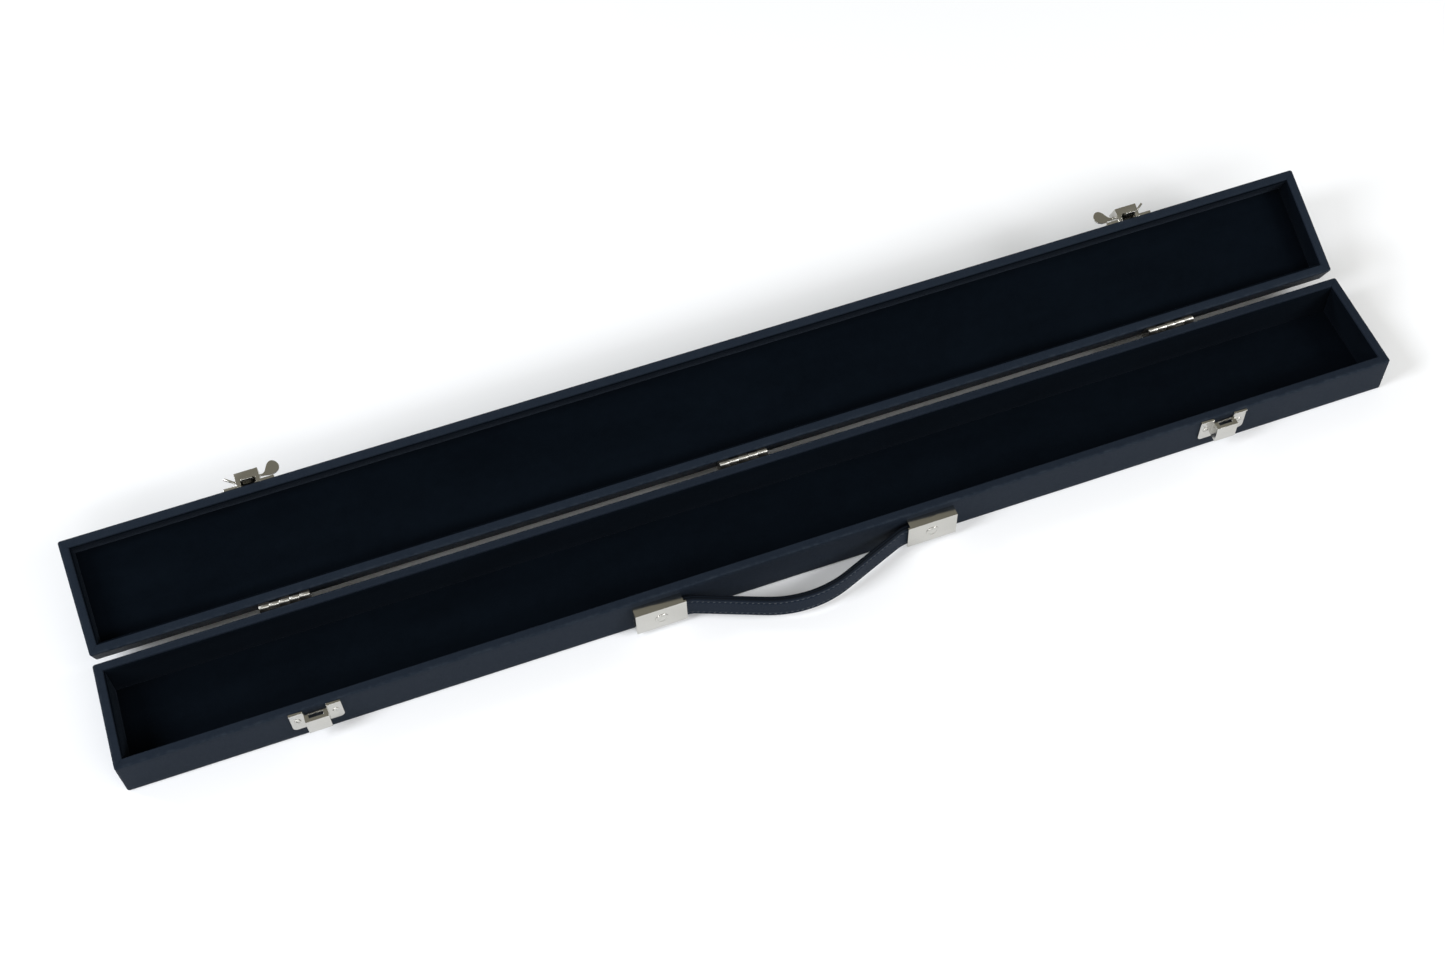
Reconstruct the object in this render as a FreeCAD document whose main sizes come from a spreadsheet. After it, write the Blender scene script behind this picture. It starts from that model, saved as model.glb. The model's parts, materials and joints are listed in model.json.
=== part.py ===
import FreeCAD, Part
import math
import os
import re
import Sketcher

# A slim hard case for a two-piece cue: a covered wooden box and lid on three small stop hinges,
# two sprung latches and a bowed carrying handle. Millimetres and degrees.
# The origin is the middle of the underside. +X runs along the case, +Y towards the hinges, +Z up.
# Pieces of the lid are drawn on the closed case and swung open about the hinge axis.

SIZES = [
    # name, value, what it is
    ("case_length", 840.0, "outside length"),
    ("case_width", 74.0, "outside width"),
    ("box_height", 30.5, "underside to the box's rim"),
    ("lid_height", 19.5, "lid's rim to its top"),
    ("rim_gap", 0.4, "between the two rims when shut"),
    ("open_angle", 157.3, "swing from shut to the hinge stops"),
    ("board", 4.5, "wall board thickness"),
    ("floor_panel", 3.0, "box panel thickness"),
    ("lid_panel", 2.2, "lid panel thickness"),
    ("cover", 0.6, "leathercloth thickness"),
    ("turn_in", 4.5, "leathercloth turned down inside the rim"),
    ("lining", 1.0, "velvet on card"),
    ("lining_drop", 1.2, "rim to the lining's edge"),
    ("hinge_spacing", 300.0, "middle hinge to an outer one"),
    ("hinge_width", 32.0, "along the case"),
    ("hinge_setoff", 2.83, "back wall's face to the hinge axis"),
    ("knuckle_radius", 1.5, "outside of a knuckle"),
    ("knuckle_gap", 0.25, "between two knuckles"),
    ("hinge_pin_radius", 0.75, "hinge pin"),
    ("running_clearance", 0.05, "radial, round pins and shafts"),
    ("leaf", 1.0, "hinge leaf thickness"),
    ("leaf_height", 13.0, "hinge axis to the leaf's tail"),
    ("stop_clearance", 0.05, "at each stop flange's tip"),
    ("rivet_pitch", 18.0, "between a leaf's two rivets"),
    ("rivet_drop", 7.4, "hinge axis to its rivets"),
    ("rivet_radius", 1.1, "rivet shank"),
    ("rivet_head_radius", 2.1, "rivet head"),
    ("rivet_head", 0.7, "rivet head height"),
    ("latch_spacing", 300.0, "middle of the case to a latch"),
    ("plate_width", 32.0, "latch and keeper plates"),
    ("plate", 1.0, "latch and keeper sheet"),
    ("plate_corner", 3.0, "plate corner radius"),
    ("ear_pitch", 23.5, "between a plate's two rivets"),
    ("keeper_drop", 1.1, "rim to the keeper's top edge"),
    ("keeper_height", 18.9, "keeper plate"),
    ("plate_lip", 1.8, "turned edge of the keeper and latch plates"),
    ("bridge_width", 14.5, "keeper's pressed bridge"),
    ("bridge_depth", 7.2, "how far the bridge stands out"),
    ("bridge_drop", 4.0, "rim to the bridge's top"),
    ("bridge_height", 13.6, "bridge, top to bottom"),
    ("catch_gap", 1.4, "wall to the catch bar"),
    ("catch_gap_length", 12.0, "gap behind the catch bar"),
    ("catch_bar", 0.8, "bar that the tongue holds"),
    ("slot", 2.6, "tongue slot, across"),
    ("slot_length", 9.0, "tongue slot, along"),
    ("hood_width", 15.0, "latch hood"),
    ("hood_depth", 9.0, "how far the hood stands out"),
    ("hood_lift", 0.6, "lid's rim to the hood"),
    ("hood_height", 13.0, "hood, bottom to top"),
    ("mouth_width", 9.5, "opening in the hood's end"),
    ("mouth_height", 4.6, "opening in the hood's end"),
    ("shaft_radius", 0.8, "latch shaft"),
    ("shaft_out", 5.0, "wall to the shaft"),
    ("shaft_up", 7.5, "lid's rim to the shaft"),
    ("shaft_overhang", 1.2, "shaft past the hood's side"),
    ("tail_length", 7.0, "bent end of the shaft"),
    ("tail_angle", 36.0, "bend of the shaft's end"),
    ("tongue_width", 7.0, "latch tongue"),
    ("tongue", 0.7, "tongue thickness"),
    ("tongue_clearance", 0.3, "catch bar to the tongue"),
    ("tongue_collar", 1.7, "tongue's collar round the shaft"),
    ("barb", 0.9, "hook at the tongue's end"),
    ("barb_clearance", 0.25, "catch bar to the hook"),
    ("paddle", 0.9, "thumb piece thickness"),
    ("paddle_length", 12.0, "thumb piece along the case"),
    ("paddle_height", 8.5, "thumb piece above its shaft"),
    ("paddle_tilt", 66.0, "thumb piece leans out from the wall"),
    ("spring_radius", 1.3, "latch spring's coils"),
    ("spring_wire", 0.2, "latch spring's wire radius"),
    ("handle_shift", 6.0, "handle's middle from the case's"),
    ("cap_pitch", 180.0, "between the caps' middles"),
    ("cap_length", 33.0, "end cap"),
    ("cap_height", 21.0, "end cap"),
    ("cap_depth", 7.2, "end cap stands out"),
    ("handle_lowered", 0.25, "handle's middle below the box's half height"),
    ("cap_sheet", 0.9, "end cap sheet"),
    ("cap_rivet_shift", 3.3, "rivet from the cap's middle to its mouth"),
    ("cap_rivet_head_radius", 4.0, "flat head on the cap"),
    ("cap_rivet_head", 0.3, "head height"),
    ("cap_rivet_radius", 1.5, "cap rivet shank"),
    ("ply", 1.6, "one leather ply of the strap"),
    ("core", 0.8, "spring steel strip between the plies"),
    ("core_height", 12.0, "steel strip"),
    ("strap_height", 18.5, "strap"),
    ("strap_out", 3.9, "wall to the strap's middle in its caps"),
    ("strap_bow", 23.0, "how far the strap stands out further"),
    ("strap_end_gap", 1.0, "strap's end to its cap"),
    ("bend_inset", 2.0, "strap's bend starts inside the cap's mouth"),
    ("crest_radius", 72.0, "bend at the strap's middle"),
    ("bend_radius", 25.0, "bends beside the caps"),
    ("backing", 0.5, "plate inside the wall, under the lining"),
    ("backing_length", 24.0, "backing plate"),
    ("backing_height", 14.0, "backing plate"),
]

# Places that follow from the sizes.
WALL = "(2 * cover + board)"
HALF_LENGTH = "(case_length / 2)"
HALF_WIDTH = "(case_width / 2)"
LID_RIM = "(box_height + rim_gap)"
LID_TOP = "(box_height + rim_gap + lid_height)"
AXIS_Y = "(case_width / 2 + hinge_setoff)"
AXIS_Z = "(box_height + rim_gap / 2)"
HANDLE_Z = "(box_height / 2 - handle_lowered)"
KNUCKLES = 5

doc = FreeCAD.newDocument("cue_case")
sheet = doc.addObject("Spreadsheet::Sheet", "sizes")
for row, (name, value, meaning) in enumerate(SIZES, start=1):
    sheet.set(f"A{row}", meaning)
    sheet.set(f"B{row}", str(value))
    sheet.setAlias(f"B{row}", name)
doc.recompute()
NAMES = {name for name, value, meaning in SIZES}
pieces = []


def size(name):
    """The value of one cell."""
    return float(sheet.get(name))


def bind(thing, prop, expression):
    """Ties a property to an expression written with the sheet's names."""
    linked = re.sub(r"[a-z_]+", lambda word: f"sizes.{word[0]}" if word[0] in NAMES else word[0], expression)
    thing.setExpression(prop, linked)


def place(thing, x, y, z, on_lid=False, tilt="0"):
    """Puts a thing's own origin at a point of the closed case, then swings it with the lid."""
    turn = tilt
    if on_lid:
        turn = f"{tilt} - open_angle"
        back, up = f"({y} - {AXIS_Y})", f"({z} - {AXIS_Z})"
        y = f"{AXIS_Y} + {back} * cos(open_angle) + {up} * sin(open_angle)"
        z = f"{AXIS_Z} - {back} * sin(open_angle) + {up} * cos(open_angle)"
    if turn != "0":
        thing.Placement = FreeCAD.Placement(FreeCAD.Vector(), FreeCAD.Rotation(FreeCAD.Vector(1, 0, 0), 1))
        bind(thing, "Placement.Rotation.Angle", turn)
    bind(thing, "Placement.Base.x", x)
    bind(thing, "Placement.Base.y", y)
    bind(thing, "Placement.Base.z", z)


def keep(thing, label):
    """Names a finished piece and lists it for export."""
    thing.Label = label
    pieces.append(thing)
    return thing


def block(label, low, high, on_lid=False):
    """A cuboid board, panel or lining between two corners of the closed case."""
    thing = doc.addObject("Part::Box", label)
    for prop, start, end in zip(("Length", "Width", "Height"), low, high):
        bind(thing, prop, f"({end}) - ({start})")
    place(thing, f"({low[0]})", f"({low[1]})", f"({low[2]})", on_lid)
    return keep(thing, label)


def rod(name, x, y, z, radius, length, direction):
    """A cylinder whose axis points along direction from a point."""
    thing = doc.addObject("Part::Cylinder", name)
    bind(thing, "Radius", radius)
    bind(thing, "Height", length)
    turn = FreeCAD.Rotation(FreeCAD.Vector(0, 0, 1), FreeCAD.Vector(*direction))
    thing.Placement = FreeCAD.Placement(FreeCAD.Vector(), turn)
    place(thing, x, y, z)
    return thing


def new_body(label):
    return keep(doc.addObject("PartDesign::Body", label), label)


def sketch_on(body, role, offset="0"):
    """An empty sketch on one of the body's own planes, moved along that plane's normal."""
    sketch = body.newObject("Sketcher::SketchObject", f"{body.Name}_sketch")
    plane = next(part for part in body.Origin.OriginFeatures if part.Role == role)
    sketch.AttachmentSupport = [(plane, "")]
    sketch.MapMode = "FlatFace"
    bind(sketch, "AttachmentOffset.Base.z", offset)
    return sketch


def pin_point(sketch, element, point, x, y):
    """Ties one point of a sketch to its distances from the origin."""
    for kind, distance in (("DistanceX", x), ("DistanceY", y)):
        index = sketch.addConstraint(Sketcher.Constraint(kind, -1, 1, element, point, 1.0))
        bind(sketch, f"Constraints[{index}]", distance)


def draw_loop(sketch, corners):
    """A closed loop of straight lines through corners."""
    first, count = sketch.GeometryCount, len(corners)
    angles = [2 * math.pi * index / count for index in range(count)]
    rough = [FreeCAD.Vector(math.cos(angle), math.sin(angle), 0) for angle in angles]
    for index in range(count):
        sketch.addGeometry(Part.LineSegment(rough[index], rough[(index + 1) % count]), False)
    for index in range(count):
        following = first + (index + 1) % count
        sketch.addConstraint(Sketcher.Constraint("Coincident", first + index, 2, following, 1))
    for index, (x, y) in enumerate(corners):
        pin_point(sketch, first + index, 1, x, y)


def draw_rectangle(sketch, x_low, x_high, y_low, y_high):
    draw_loop(sketch, [(x_low, y_low), (x_high, y_low), (x_high, y_high), (x_low, y_high)])


def draw_circle(sketch, x, y, radius):
    circle = sketch.addGeometry(Part.Circle(FreeCAD.Vector(), FreeCAD.Vector(0, 0, 1), 1.0), False)
    pin_point(sketch, circle, 3, x, y)
    index = sketch.addConstraint(Sketcher.Constraint("Radius", circle, 1.0))
    bind(sketch, f"Constraints[{index}]", radius)


def pad(body, sketch, length, symmetric=False):
    feature = body.newObject("PartDesign::Pad", f"{body.Name}_pad")
    feature.Profile = sketch
    feature.SideType = "Symmetric" if symmetric else "One side"
    bind(feature, "Length", length)
    return feature


def pocket(body, sketch, depth=None, along_normal=False):
    """Cuts a sketch to a depth, or right through both ways where no depth is given."""
    feature = body.newObject("PartDesign::Pocket", f"{body.Name}_pocket")
    feature.Profile = sketch
    if depth is None:
        feature.SideType = "Symmetric"
        feature.Type = "ThroughAll"
    else:
        feature.Reversed = along_normal
        bind(feature, "Length", depth)
    return feature


def round_corners(body, feature, radius, corners):
    """Fillets the edges across a plate at the given x, z corners, which are read off the sheet."""
    doc.recompute()
    edges = []
    for index, edge in enumerate(feature.Shape.Edges, start=1):
        middle = edge.CenterOfMass
        if any(abs(middle.x - x) < 0.01 and abs(middle.z - z) < 0.01 for x, z in corners):
            edges.append(f"Edge{index}")
    fillet = body.newObject("PartDesign::Fillet", f"{body.Name}_fillet")
    fillet.Base = (feature, edges)
    bind(fillet, "Radius", radius)


def case_half(name, height, panel, on_lid):
    """Boards, panel, leathercloth and lining of the box or the lid."""

    def slab(label, x_low, x_high, y_low, y_high, outer, inner):
        """A block between two depths, counted from the half's outer face."""
        low, high = (outer, inner) if not on_lid else (f"{LID_TOP} - ({inner})", f"{LID_TOP} - ({outer})")
        block(f"{name}_{label}", (x_low, y_low, low), (x_high, y_high, high), on_lid)

    def ring(body, outer, inner, low, length):
        """Pads a band round the case between two insets from its outside."""
        sketch = sketch_on(body, "XY_Plane", low)
        for inset in (outer, inner):
            x, y = f"({HALF_LENGTH} - ({inset}))", f"({HALF_WIDTH} - ({inset}))"
            draw_rectangle(sketch, f"-{x}", x, f"-{y}", y)
        pad(body, sketch, length)

    inside_x, inside_y = f"({HALF_LENGTH} - {WALL})", f"({HALF_WIDTH} - {WALL})"
    board_x, board_y = f"({HALF_LENGTH} - cover)", f"({HALF_WIDTH} - cover)"
    end_y = f"({HALF_WIDTH} - cover - board)"
    seat, edge = f"cover + {panel}", f"{height} - cover"
    lined, lining_edge = f"cover + {panel} + lining", f"{height} - lining_drop"

    panel_label = "top_panel" if on_lid else "bottom_panel"
    slab(panel_label, f"-{board_x}", board_x, f"-{board_y}", board_y, "cover", seat)
    slab("front_board", f"-{board_x}", board_x, f"-{board_y}", f"-{board_y} + board", seat, edge)
    slab("back_board", f"-{board_x}", board_x, f"{board_y} - board", board_y, seat, edge)
    slab("left_end_board", f"-{board_x}", f"-{board_x} + board", f"-{end_y}", end_y, seat, edge)
    slab("right_end_board", f"{board_x} - board", board_x, f"-{end_y}", end_y, seat, edge)

    sheet_label = "top_covering" if on_lid else "bottom_covering"
    slab(sheet_label, f"-{HALF_LENGTH}", HALF_LENGTH, f"-{HALF_WIDTH}", HALF_WIDTH, "0", "cover")
    covering = new_body(f"{name}_wall_covering")
    skin_low = LID_RIM if on_lid else "cover"
    rim_low = LID_RIM if on_lid else "box_height - cover"
    turn_low = LID_RIM if on_lid else "box_height - turn_in"
    ring(covering, "0", "cover", skin_low, f"{height} - cover")
    ring(covering, "cover", WALL, rim_low, "cover")
    ring(covering, "cover + board", WALL, turn_low, "turn_in")
    place(covering, "0", "0", "0", on_lid)

    lined_y = f"({inside_y} - lining)"
    flat_label = "top_lining" if on_lid else "floor_lining"
    slab(flat_label, f"-{inside_x}", inside_x, f"-{inside_y}", inside_y, seat, lined)
    slab("front_lining", f"-{inside_x}", inside_x, f"-{inside_y}", f"-{lined_y}", lined, lining_edge)
    slab("back_lining", f"-{inside_x}", inside_x, lined_y, inside_y, lined, lining_edge)
    low, high = f"-{lined_y}", lined_y
    slab("left_end_lining", f"-{inside_x}", f"-{inside_x} + lining", low, high, lined, lining_edge)
    slab("right_end_lining", f"{inside_x} - lining", inside_x, low, high, lined, lining_edge)


def rivet(name, x, y, z, inward, length, radius, head_radius, head):
    """A rivet along Y with its head's underside at y; inward is the way its shank points."""
    shank = rod(f"{name}_shank", x, y, z, radius, length, (0, inward, 0))
    top = doc.addObject("Part::Cone", f"{name}_head")
    bind(top, "Radius1", head_radius)
    bind(top, "Radius2", f"{head_radius} * 0.6")
    bind(top, "Height", head)
    turn = FreeCAD.Rotation(FreeCAD.Vector(0, 0, 1), FreeCAD.Vector(0, -inward, 0))
    top.Placement = FreeCAD.Placement(FreeCAD.Vector(), turn)
    place(top, x, y, z)
    whole = doc.addObject("Part::Fuse", name)
    whole.Base, whole.Tool = top, shank
    return whole


def group(label, things, on_lid=False):
    """Like pieces kept together in one node as separate solids."""
    compound = doc.addObject("Part::Compound", label)
    compound.Links = things
    place(compound, "0", "0", "0", on_lid)
    return keep(compound, label)


def hinge_leaf(label, x, first, count, on_lid):
    """A leaf with its knuckles and turned-out stop flange, drawn about the hinge axis.

    first is its first knuckle's number and count how many it has, every other one along the pin.
    """
    body = new_body(label)
    sign = "1" if on_lid else "-1"

    def side(corners):
        return [(y, f"{sign} * ({z})") for y, z in corners]

    tip = "(leaf_height - leaf) * tan((180 - open_angle) / 2) - stop_clearance"
    profile = sketch_on(body, "YZ_Plane")
    draw_loop(profile, side([
        ("-hinge_setoff", "leaf_height"),
        (tip, "leaf_height"),
        (tip, "leaf_height - leaf"),
        ("leaf - hinge_setoff", "leaf_height - leaf"),
        ("leaf - hinge_setoff", "knuckle_radius + knuckle_gap"),
        ("-hinge_setoff", "knuckle_radius + knuckle_gap"),
    ]))
    pad(body, profile, "hinge_width", symmetric=True)

    pitch = f"hinge_width / {KNUCKLES}"
    start = f"{first} * {pitch} + knuckle_gap / 2 - hinge_width / 2"
    web = sketch_on(body, "YZ_Plane", start)
    draw_loop(web, side([
        ("0", "knuckle_radius"),
        ("leaf - hinge_setoff", "2.2 * knuckle_radius"),
        ("-hinge_setoff", "2.2 * knuckle_radius"),
        ("-hinge_setoff", "1.1 * knuckle_radius"),
        ("-knuckle_radius", "0"),
        ("0", "0"),
    ]))
    web_pad = pad(body, web, f"{pitch} - knuckle_gap")
    barrel = sketch_on(body, "YZ_Plane", start)
    draw_circle(barrel, "0", "0", "knuckle_radius")
    barrel_pad = pad(body, barrel, f"{pitch} - knuckle_gap")
    row = body.newObject("PartDesign::LinearPattern", f"{label}_knuckles")
    row.Originals = [web_pad, barrel_pad]
    axis = next(part for part in body.Origin.OriginFeatures if part.Role == "X_Axis")
    row.Direction = (axis, [""])
    bind(row, "Length", f"2 * ({count} - 1) * {pitch}")
    row.Occurrences = count
    body.Tip = row

    bore = sketch_on(body, "YZ_Plane")
    draw_circle(bore, "0", "0", "hinge_pin_radius + running_clearance")
    pocket(body, bore)
    holes = sketch_on(body, "XZ_Plane")
    for end in ("-1", "1"):
        draw_circle(holes, f"{end} * rivet_pitch / 2", f"{sign} * rivet_drop", "rivet_radius")
    pocket(body, holes)
    place(body, x, AXIS_Y, AXIS_Z, on_lid)


def hinges():
    """Three stop hinges on the back walls, with their pins and rivets."""
    box_rivets, lid_rivets = [], []
    for hinge, step in (("left_hinge", -1), ("middle_hinge", 0), ("right_hinge", 1)):
        x = f"({step} * hinge_spacing)"
        hinge_leaf(f"{hinge}_box_leaf", x, 0, 3, False)
        hinge_leaf(f"{hinge}_lid_leaf", x, 1, 2, True)
        end = f"{x} - hinge_width / 2"
        pin = rod(f"{hinge}_pin", end, AXIS_Y, AXIS_Z, "hinge_pin_radius", "hinge_width", (1, 0, 0))
        keep(pin, f"{hinge}_pin")
        for end in (-1, 1):
            at = f"({x} + {end} * rivet_pitch / 2)"
            face = f"({HALF_WIDTH} + leaf)"
            shank = "leaf + cover + board"
            for rivets, z in ((box_rivets, f"{AXIS_Z} - rivet_drop"), (lid_rivets, f"{AXIS_Z} + rivet_drop")):
                made = rivet(
                    f"{hinge}_rivet", at, face, z, -1, shank, "rivet_radius", "rivet_head_radius", "rivet_head"
                )
                rivets.append(made)
    group("box_hinge_rivets", box_rivets)
    group("lid_hinge_rivets", lid_rivets, True)


def keeper(label, x):
    """A keeper plate with its pressed bridge, drawn from the rim on the front wall's face."""
    body = new_body(label)
    half = "(bridge_width / 2)"
    ears = sketch_on(body, "XZ_Plane")
    low = "-keeper_drop - keeper_height"
    draw_rectangle(ears, "-plate_width / 2", "plate_width / 2", low, "-keeper_drop")
    base = pad(body, ears, "plate")
    foot = -size("keeper_drop") - size("keeper_height")
    edge = size("plate_width") / 2
    round_corners(body, base, "plate_corner", [(-edge, foot), (edge, foot)])
    bridge = sketch_on(body, "XZ_Plane")
    draw_rectangle(bridge, f"-{half}", half, "-bridge_drop - bridge_height", "-bridge_drop")
    pad(body, bridge, "bridge_depth")
    lips = sketch_on(body, "XZ_Plane")
    for low, high in (("-plate_width / 2", f"-{half}"), (half, "plate_width / 2")):
        draw_rectangle(lips, low, high, "-keeper_drop - plate", "-keeper_drop")
    pad(body, lips, "plate_lip")
    notch = sketch_on(body, "XZ_Plane")
    draw_rectangle(notch, f"-{half}", half, "-bridge_drop", "-keeper_drop")
    pocket(body, notch)
    hollow = sketch_on(body, "XZ_Plane")
    inside = f"({half} - plate)"
    draw_rectangle(hollow, f"-{inside}", inside, "-bridge_drop - bridge_height", "-bridge_drop - plate")
    pocket(body, hollow, "bridge_depth - plate", along_normal=True)
    top = sketch_on(body, "XY_Plane", "-bridge_drop")
    draw_rectangle(top, "-catch_gap_length / 2", "catch_gap_length / 2", "-catch_gap", "0")
    draw_rectangle(
        top, "-slot_length / 2", "slot_length / 2", "-catch_gap - catch_bar - slot", "-catch_gap - catch_bar"
    )
    pocket(body, top, "plate")
    holes = sketch_on(body, "XZ_Plane")
    for end in ("-1", "1"):
        draw_circle(holes, f"{end} * ear_pitch / 2", "-keeper_drop - keeper_height / 2", "rivet_radius")
    pocket(body, holes)
    place(body, x, f"-{HALF_WIDTH}", "box_height")


def latch(side, step):
    """The lid's latch: hooded plate, shaft, tongue, thumb piece and spring.

    step is -1 at the left and 1 at the right. The thumb piece is on the side nearer the middle.
    """
    x, face = f"({step} * latch_spacing)", f"(-{HALF_WIDTH})"
    inner = -step

    plate_body = new_body(f"{side}_latch_plate")
    top_edge = "hood_lift + hood_height"
    half = "(hood_width / 2)"
    ears = sketch_on(plate_body, "XZ_Plane")
    draw_rectangle(ears, "-plate_width / 2", "plate_width / 2", "hood_lift + plate", top_edge)
    base = pad(plate_body, ears, "plate")
    edge, head = size("plate_width") / 2, size("hood_lift") + size("hood_height")
    round_corners(plate_body, base, "plate_corner", [(-edge, head), (edge, head)])
    hood = sketch_on(plate_body, "XZ_Plane")
    draw_rectangle(hood, f"-{half}", half, "hood_lift", top_edge)
    pad(plate_body, hood, "hood_depth")
    lips = sketch_on(plate_body, "XZ_Plane")
    for low, high in (("-plate_width / 2", f"-{half}"), (half, "plate_width / 2")):
        draw_rectangle(lips, low, high, "hood_lift + plate", "hood_lift + 2 * plate")
    pad(plate_body, lips, "plate_lip")
    hollow = sketch_on(plate_body, "XZ_Plane")
    inside = f"({half} - plate)"
    draw_rectangle(hollow, f"-{inside}", inside, "hood_lift + plate", f"{top_edge} - plate")
    pocket(plate_body, hollow, "hood_depth - plate", along_normal=True)
    mouth = sketch_on(plate_body, "XY_Plane", "hood_lift")
    draw_loop(mouth, [
        ("-mouth_width / 2", "0"),
        ("-mouth_width / 2", "-0.7 * mouth_height"),
        ("-mouth_width / 3", "-mouth_height"),
        ("mouth_width / 3", "-mouth_height"),
        ("mouth_width / 2", "-0.7 * mouth_height"),
        ("mouth_width / 2", "0"),
    ])
    pocket(plate_body, mouth, "plate", along_normal=True)
    bore = sketch_on(plate_body, "YZ_Plane")
    draw_circle(bore, "-shaft_out", "shaft_up", "shaft_radius + running_clearance")
    pocket(plate_body, bore)
    holes = sketch_on(plate_body, "XZ_Plane")
    for end in ("-1", "1"):
        draw_circle(holes, f"{end} * ear_pitch / 2", "hood_lift + hood_height / 2", "rivet_radius")
    pocket(plate_body, holes)
    place(plate_body, x, face, LID_RIM, True)

    # The shaft turns in the hood's sides. Its outer end is bent out as a tail.
    shaft_y, shaft_z = f"({face} - shaft_out)", f"({LID_RIM} + shaft_up)"
    reach = "(hood_width / 2 + shaft_overhang)"
    outer_end = f"{x} - ({inner} * {reach})"
    straight = rod(
        f"{side}_shaft_rod", outer_end, shaft_y, shaft_z, "shaft_radius", f"2 * {reach}", (inner, 0, 0)
    )
    bend = math.radians(size("tail_angle"))
    tail = rod(
        f"{side}_shaft_tail", f"{x} - ({inner} * {reach})", shaft_y, shaft_z, "shaft_radius", "tail_length",
        (-inner * math.cos(bend), -math.sin(bend), 0),
    )
    elbow = doc.addObject("Part::Sphere", f"{side}_shaft_elbow")
    bind(elbow, "Radius", "shaft_radius")
    place(elbow, f"{x} - ({inner} * {reach})", shaft_y, shaft_z)
    shaft = doc.addObject("Part::MultiFuse", f"{side}_latch_shaft")
    shaft.Shapes = [straight, elbow, tail]
    place(shaft, "0", "0", "0", True)
    keep(shaft, f"{side}_latch_shaft")

    # The tongue hangs from its collar, passes the mouth and hooks under the keeper's catch bar.
    tongue_body = new_body(f"{side}_latch_tongue")
    near = "-(catch_gap + catch_bar + tongue_clearance)"
    hook_top = "-(rim_gap + bridge_drop + plate + barb_clearance)"
    profile = sketch_on(tongue_body, "YZ_Plane")
    draw_loop(profile, [
        (near, "shaft_up"),
        (near, hook_top),
        (f"{near} + barb", hook_top),
        (f"{near} + barb / 3", f"{hook_top} - barb"),
        (f"{near} - tongue", f"{hook_top} - barb"),
        (f"{near} - tongue", "shaft_up - tongue_collar"),
        ("-shaft_out", "shaft_up - tongue_collar"),
        ("-shaft_out", "shaft_up"),
    ])
    pad(tongue_body, profile, "tongue_width", symmetric=True)
    collar = sketch_on(tongue_body, "YZ_Plane")
    draw_circle(collar, "-shaft_out", "shaft_up", "tongue_collar")
    pad(tongue_body, collar, "tongue_width", symmetric=True)
    eye = sketch_on(tongue_body, "YZ_Plane")
    draw_circle(eye, "-shaft_out", "shaft_up", "shaft_radius")
    pocket(tongue_body, eye)
    place(tongue_body, x, face, LID_RIM, True)

    # The thumb piece is a spade-shaped blade on the shaft's inner end.
    paddle_body = new_body(f"{side}_latch_paddle")
    neck = "(hood_width / 2 + running_clearance + 0.3)"
    blade = sketch_on(paddle_body, "XZ_Plane", "-paddle / 2")
    draw_loop(blade, [(f"{inner} * ({along})", up) for along, up in [
        (neck, "-shaft_radius"),
        (f"{neck} + 0.25 * paddle_length", "-shaft_radius"),
        (f"{neck} + 0.5 * paddle_length", "-0.22 * paddle_height"),
        (f"{neck} + 0.85 * paddle_length", "-0.1 * paddle_height"),
        (f"{neck} + paddle_length", "0.4 * paddle_height"),
        (f"{neck} + 0.8 * paddle_length", "0.9 * paddle_height"),
        (f"{neck} + 0.55 * paddle_length", "paddle_height"),
        (f"{neck} + 0.35 * paddle_length", "0.7 * paddle_height"),
        (f"{neck} + 0.22 * paddle_length", "shaft_radius"),
        (neck, "shaft_radius"),
    ]])
    pad(paddle_body, blade, "paddle")
    place(paddle_body, x, shaft_y, shaft_z, True, "paddle_tilt")

    # A small torsion spring round the shaft, between the tongue and the hood's outer side.
    turns = 3
    room = size("hood_width") / 2 - size("plate") - size("tongue_width") / 2
    pitch = (room - 4 * size("spring_wire")) / turns
    helix = Part.makeHelix(pitch, pitch * turns, size("spring_radius"))
    wire_start = helix.Edges[0].valueAt(helix.Edges[0].FirstParameter)
    heading = helix.Edges[0].tangentAt(helix.Edges[0].FirstParameter)
    section = Part.Wire(Part.makeCircle(size("spring_wire"), wire_start, heading))
    spring = doc.addObject("Part::Feature", f"{side}_latch_spring")
    spring.Shape = Part.Wire(helix.Edges).makePipeShell([section], True, True)
    turn = FreeCAD.Rotation(FreeCAD.Vector(0, 0, 1), FreeCAD.Vector(-inner, 0, 0))
    inset = size("tongue_width") / 2 + 2 * size("spring_wire")
    at = FreeCAD.Vector(
        step * size("latch_spacing") - inner * inset,
        -size("case_width") / 2 - size("shaft_out"),
        size("box_height") + size("rim_gap") + size("shaft_up"),
    )
    hinge_axis = FreeCAD.Vector(
        0, size("case_width") / 2 + size("hinge_setoff"), size("box_height") + size("rim_gap") / 2
    )
    swing = FreeCAD.Placement(
        FreeCAD.Vector(), FreeCAD.Rotation(FreeCAD.Vector(1, 0, 0), -size("open_angle")), hinge_axis
    )
    spring.Placement = swing.multiply(FreeCAD.Placement(at, turn))
    keep(spring, f"{side}_latch_spring")


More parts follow.
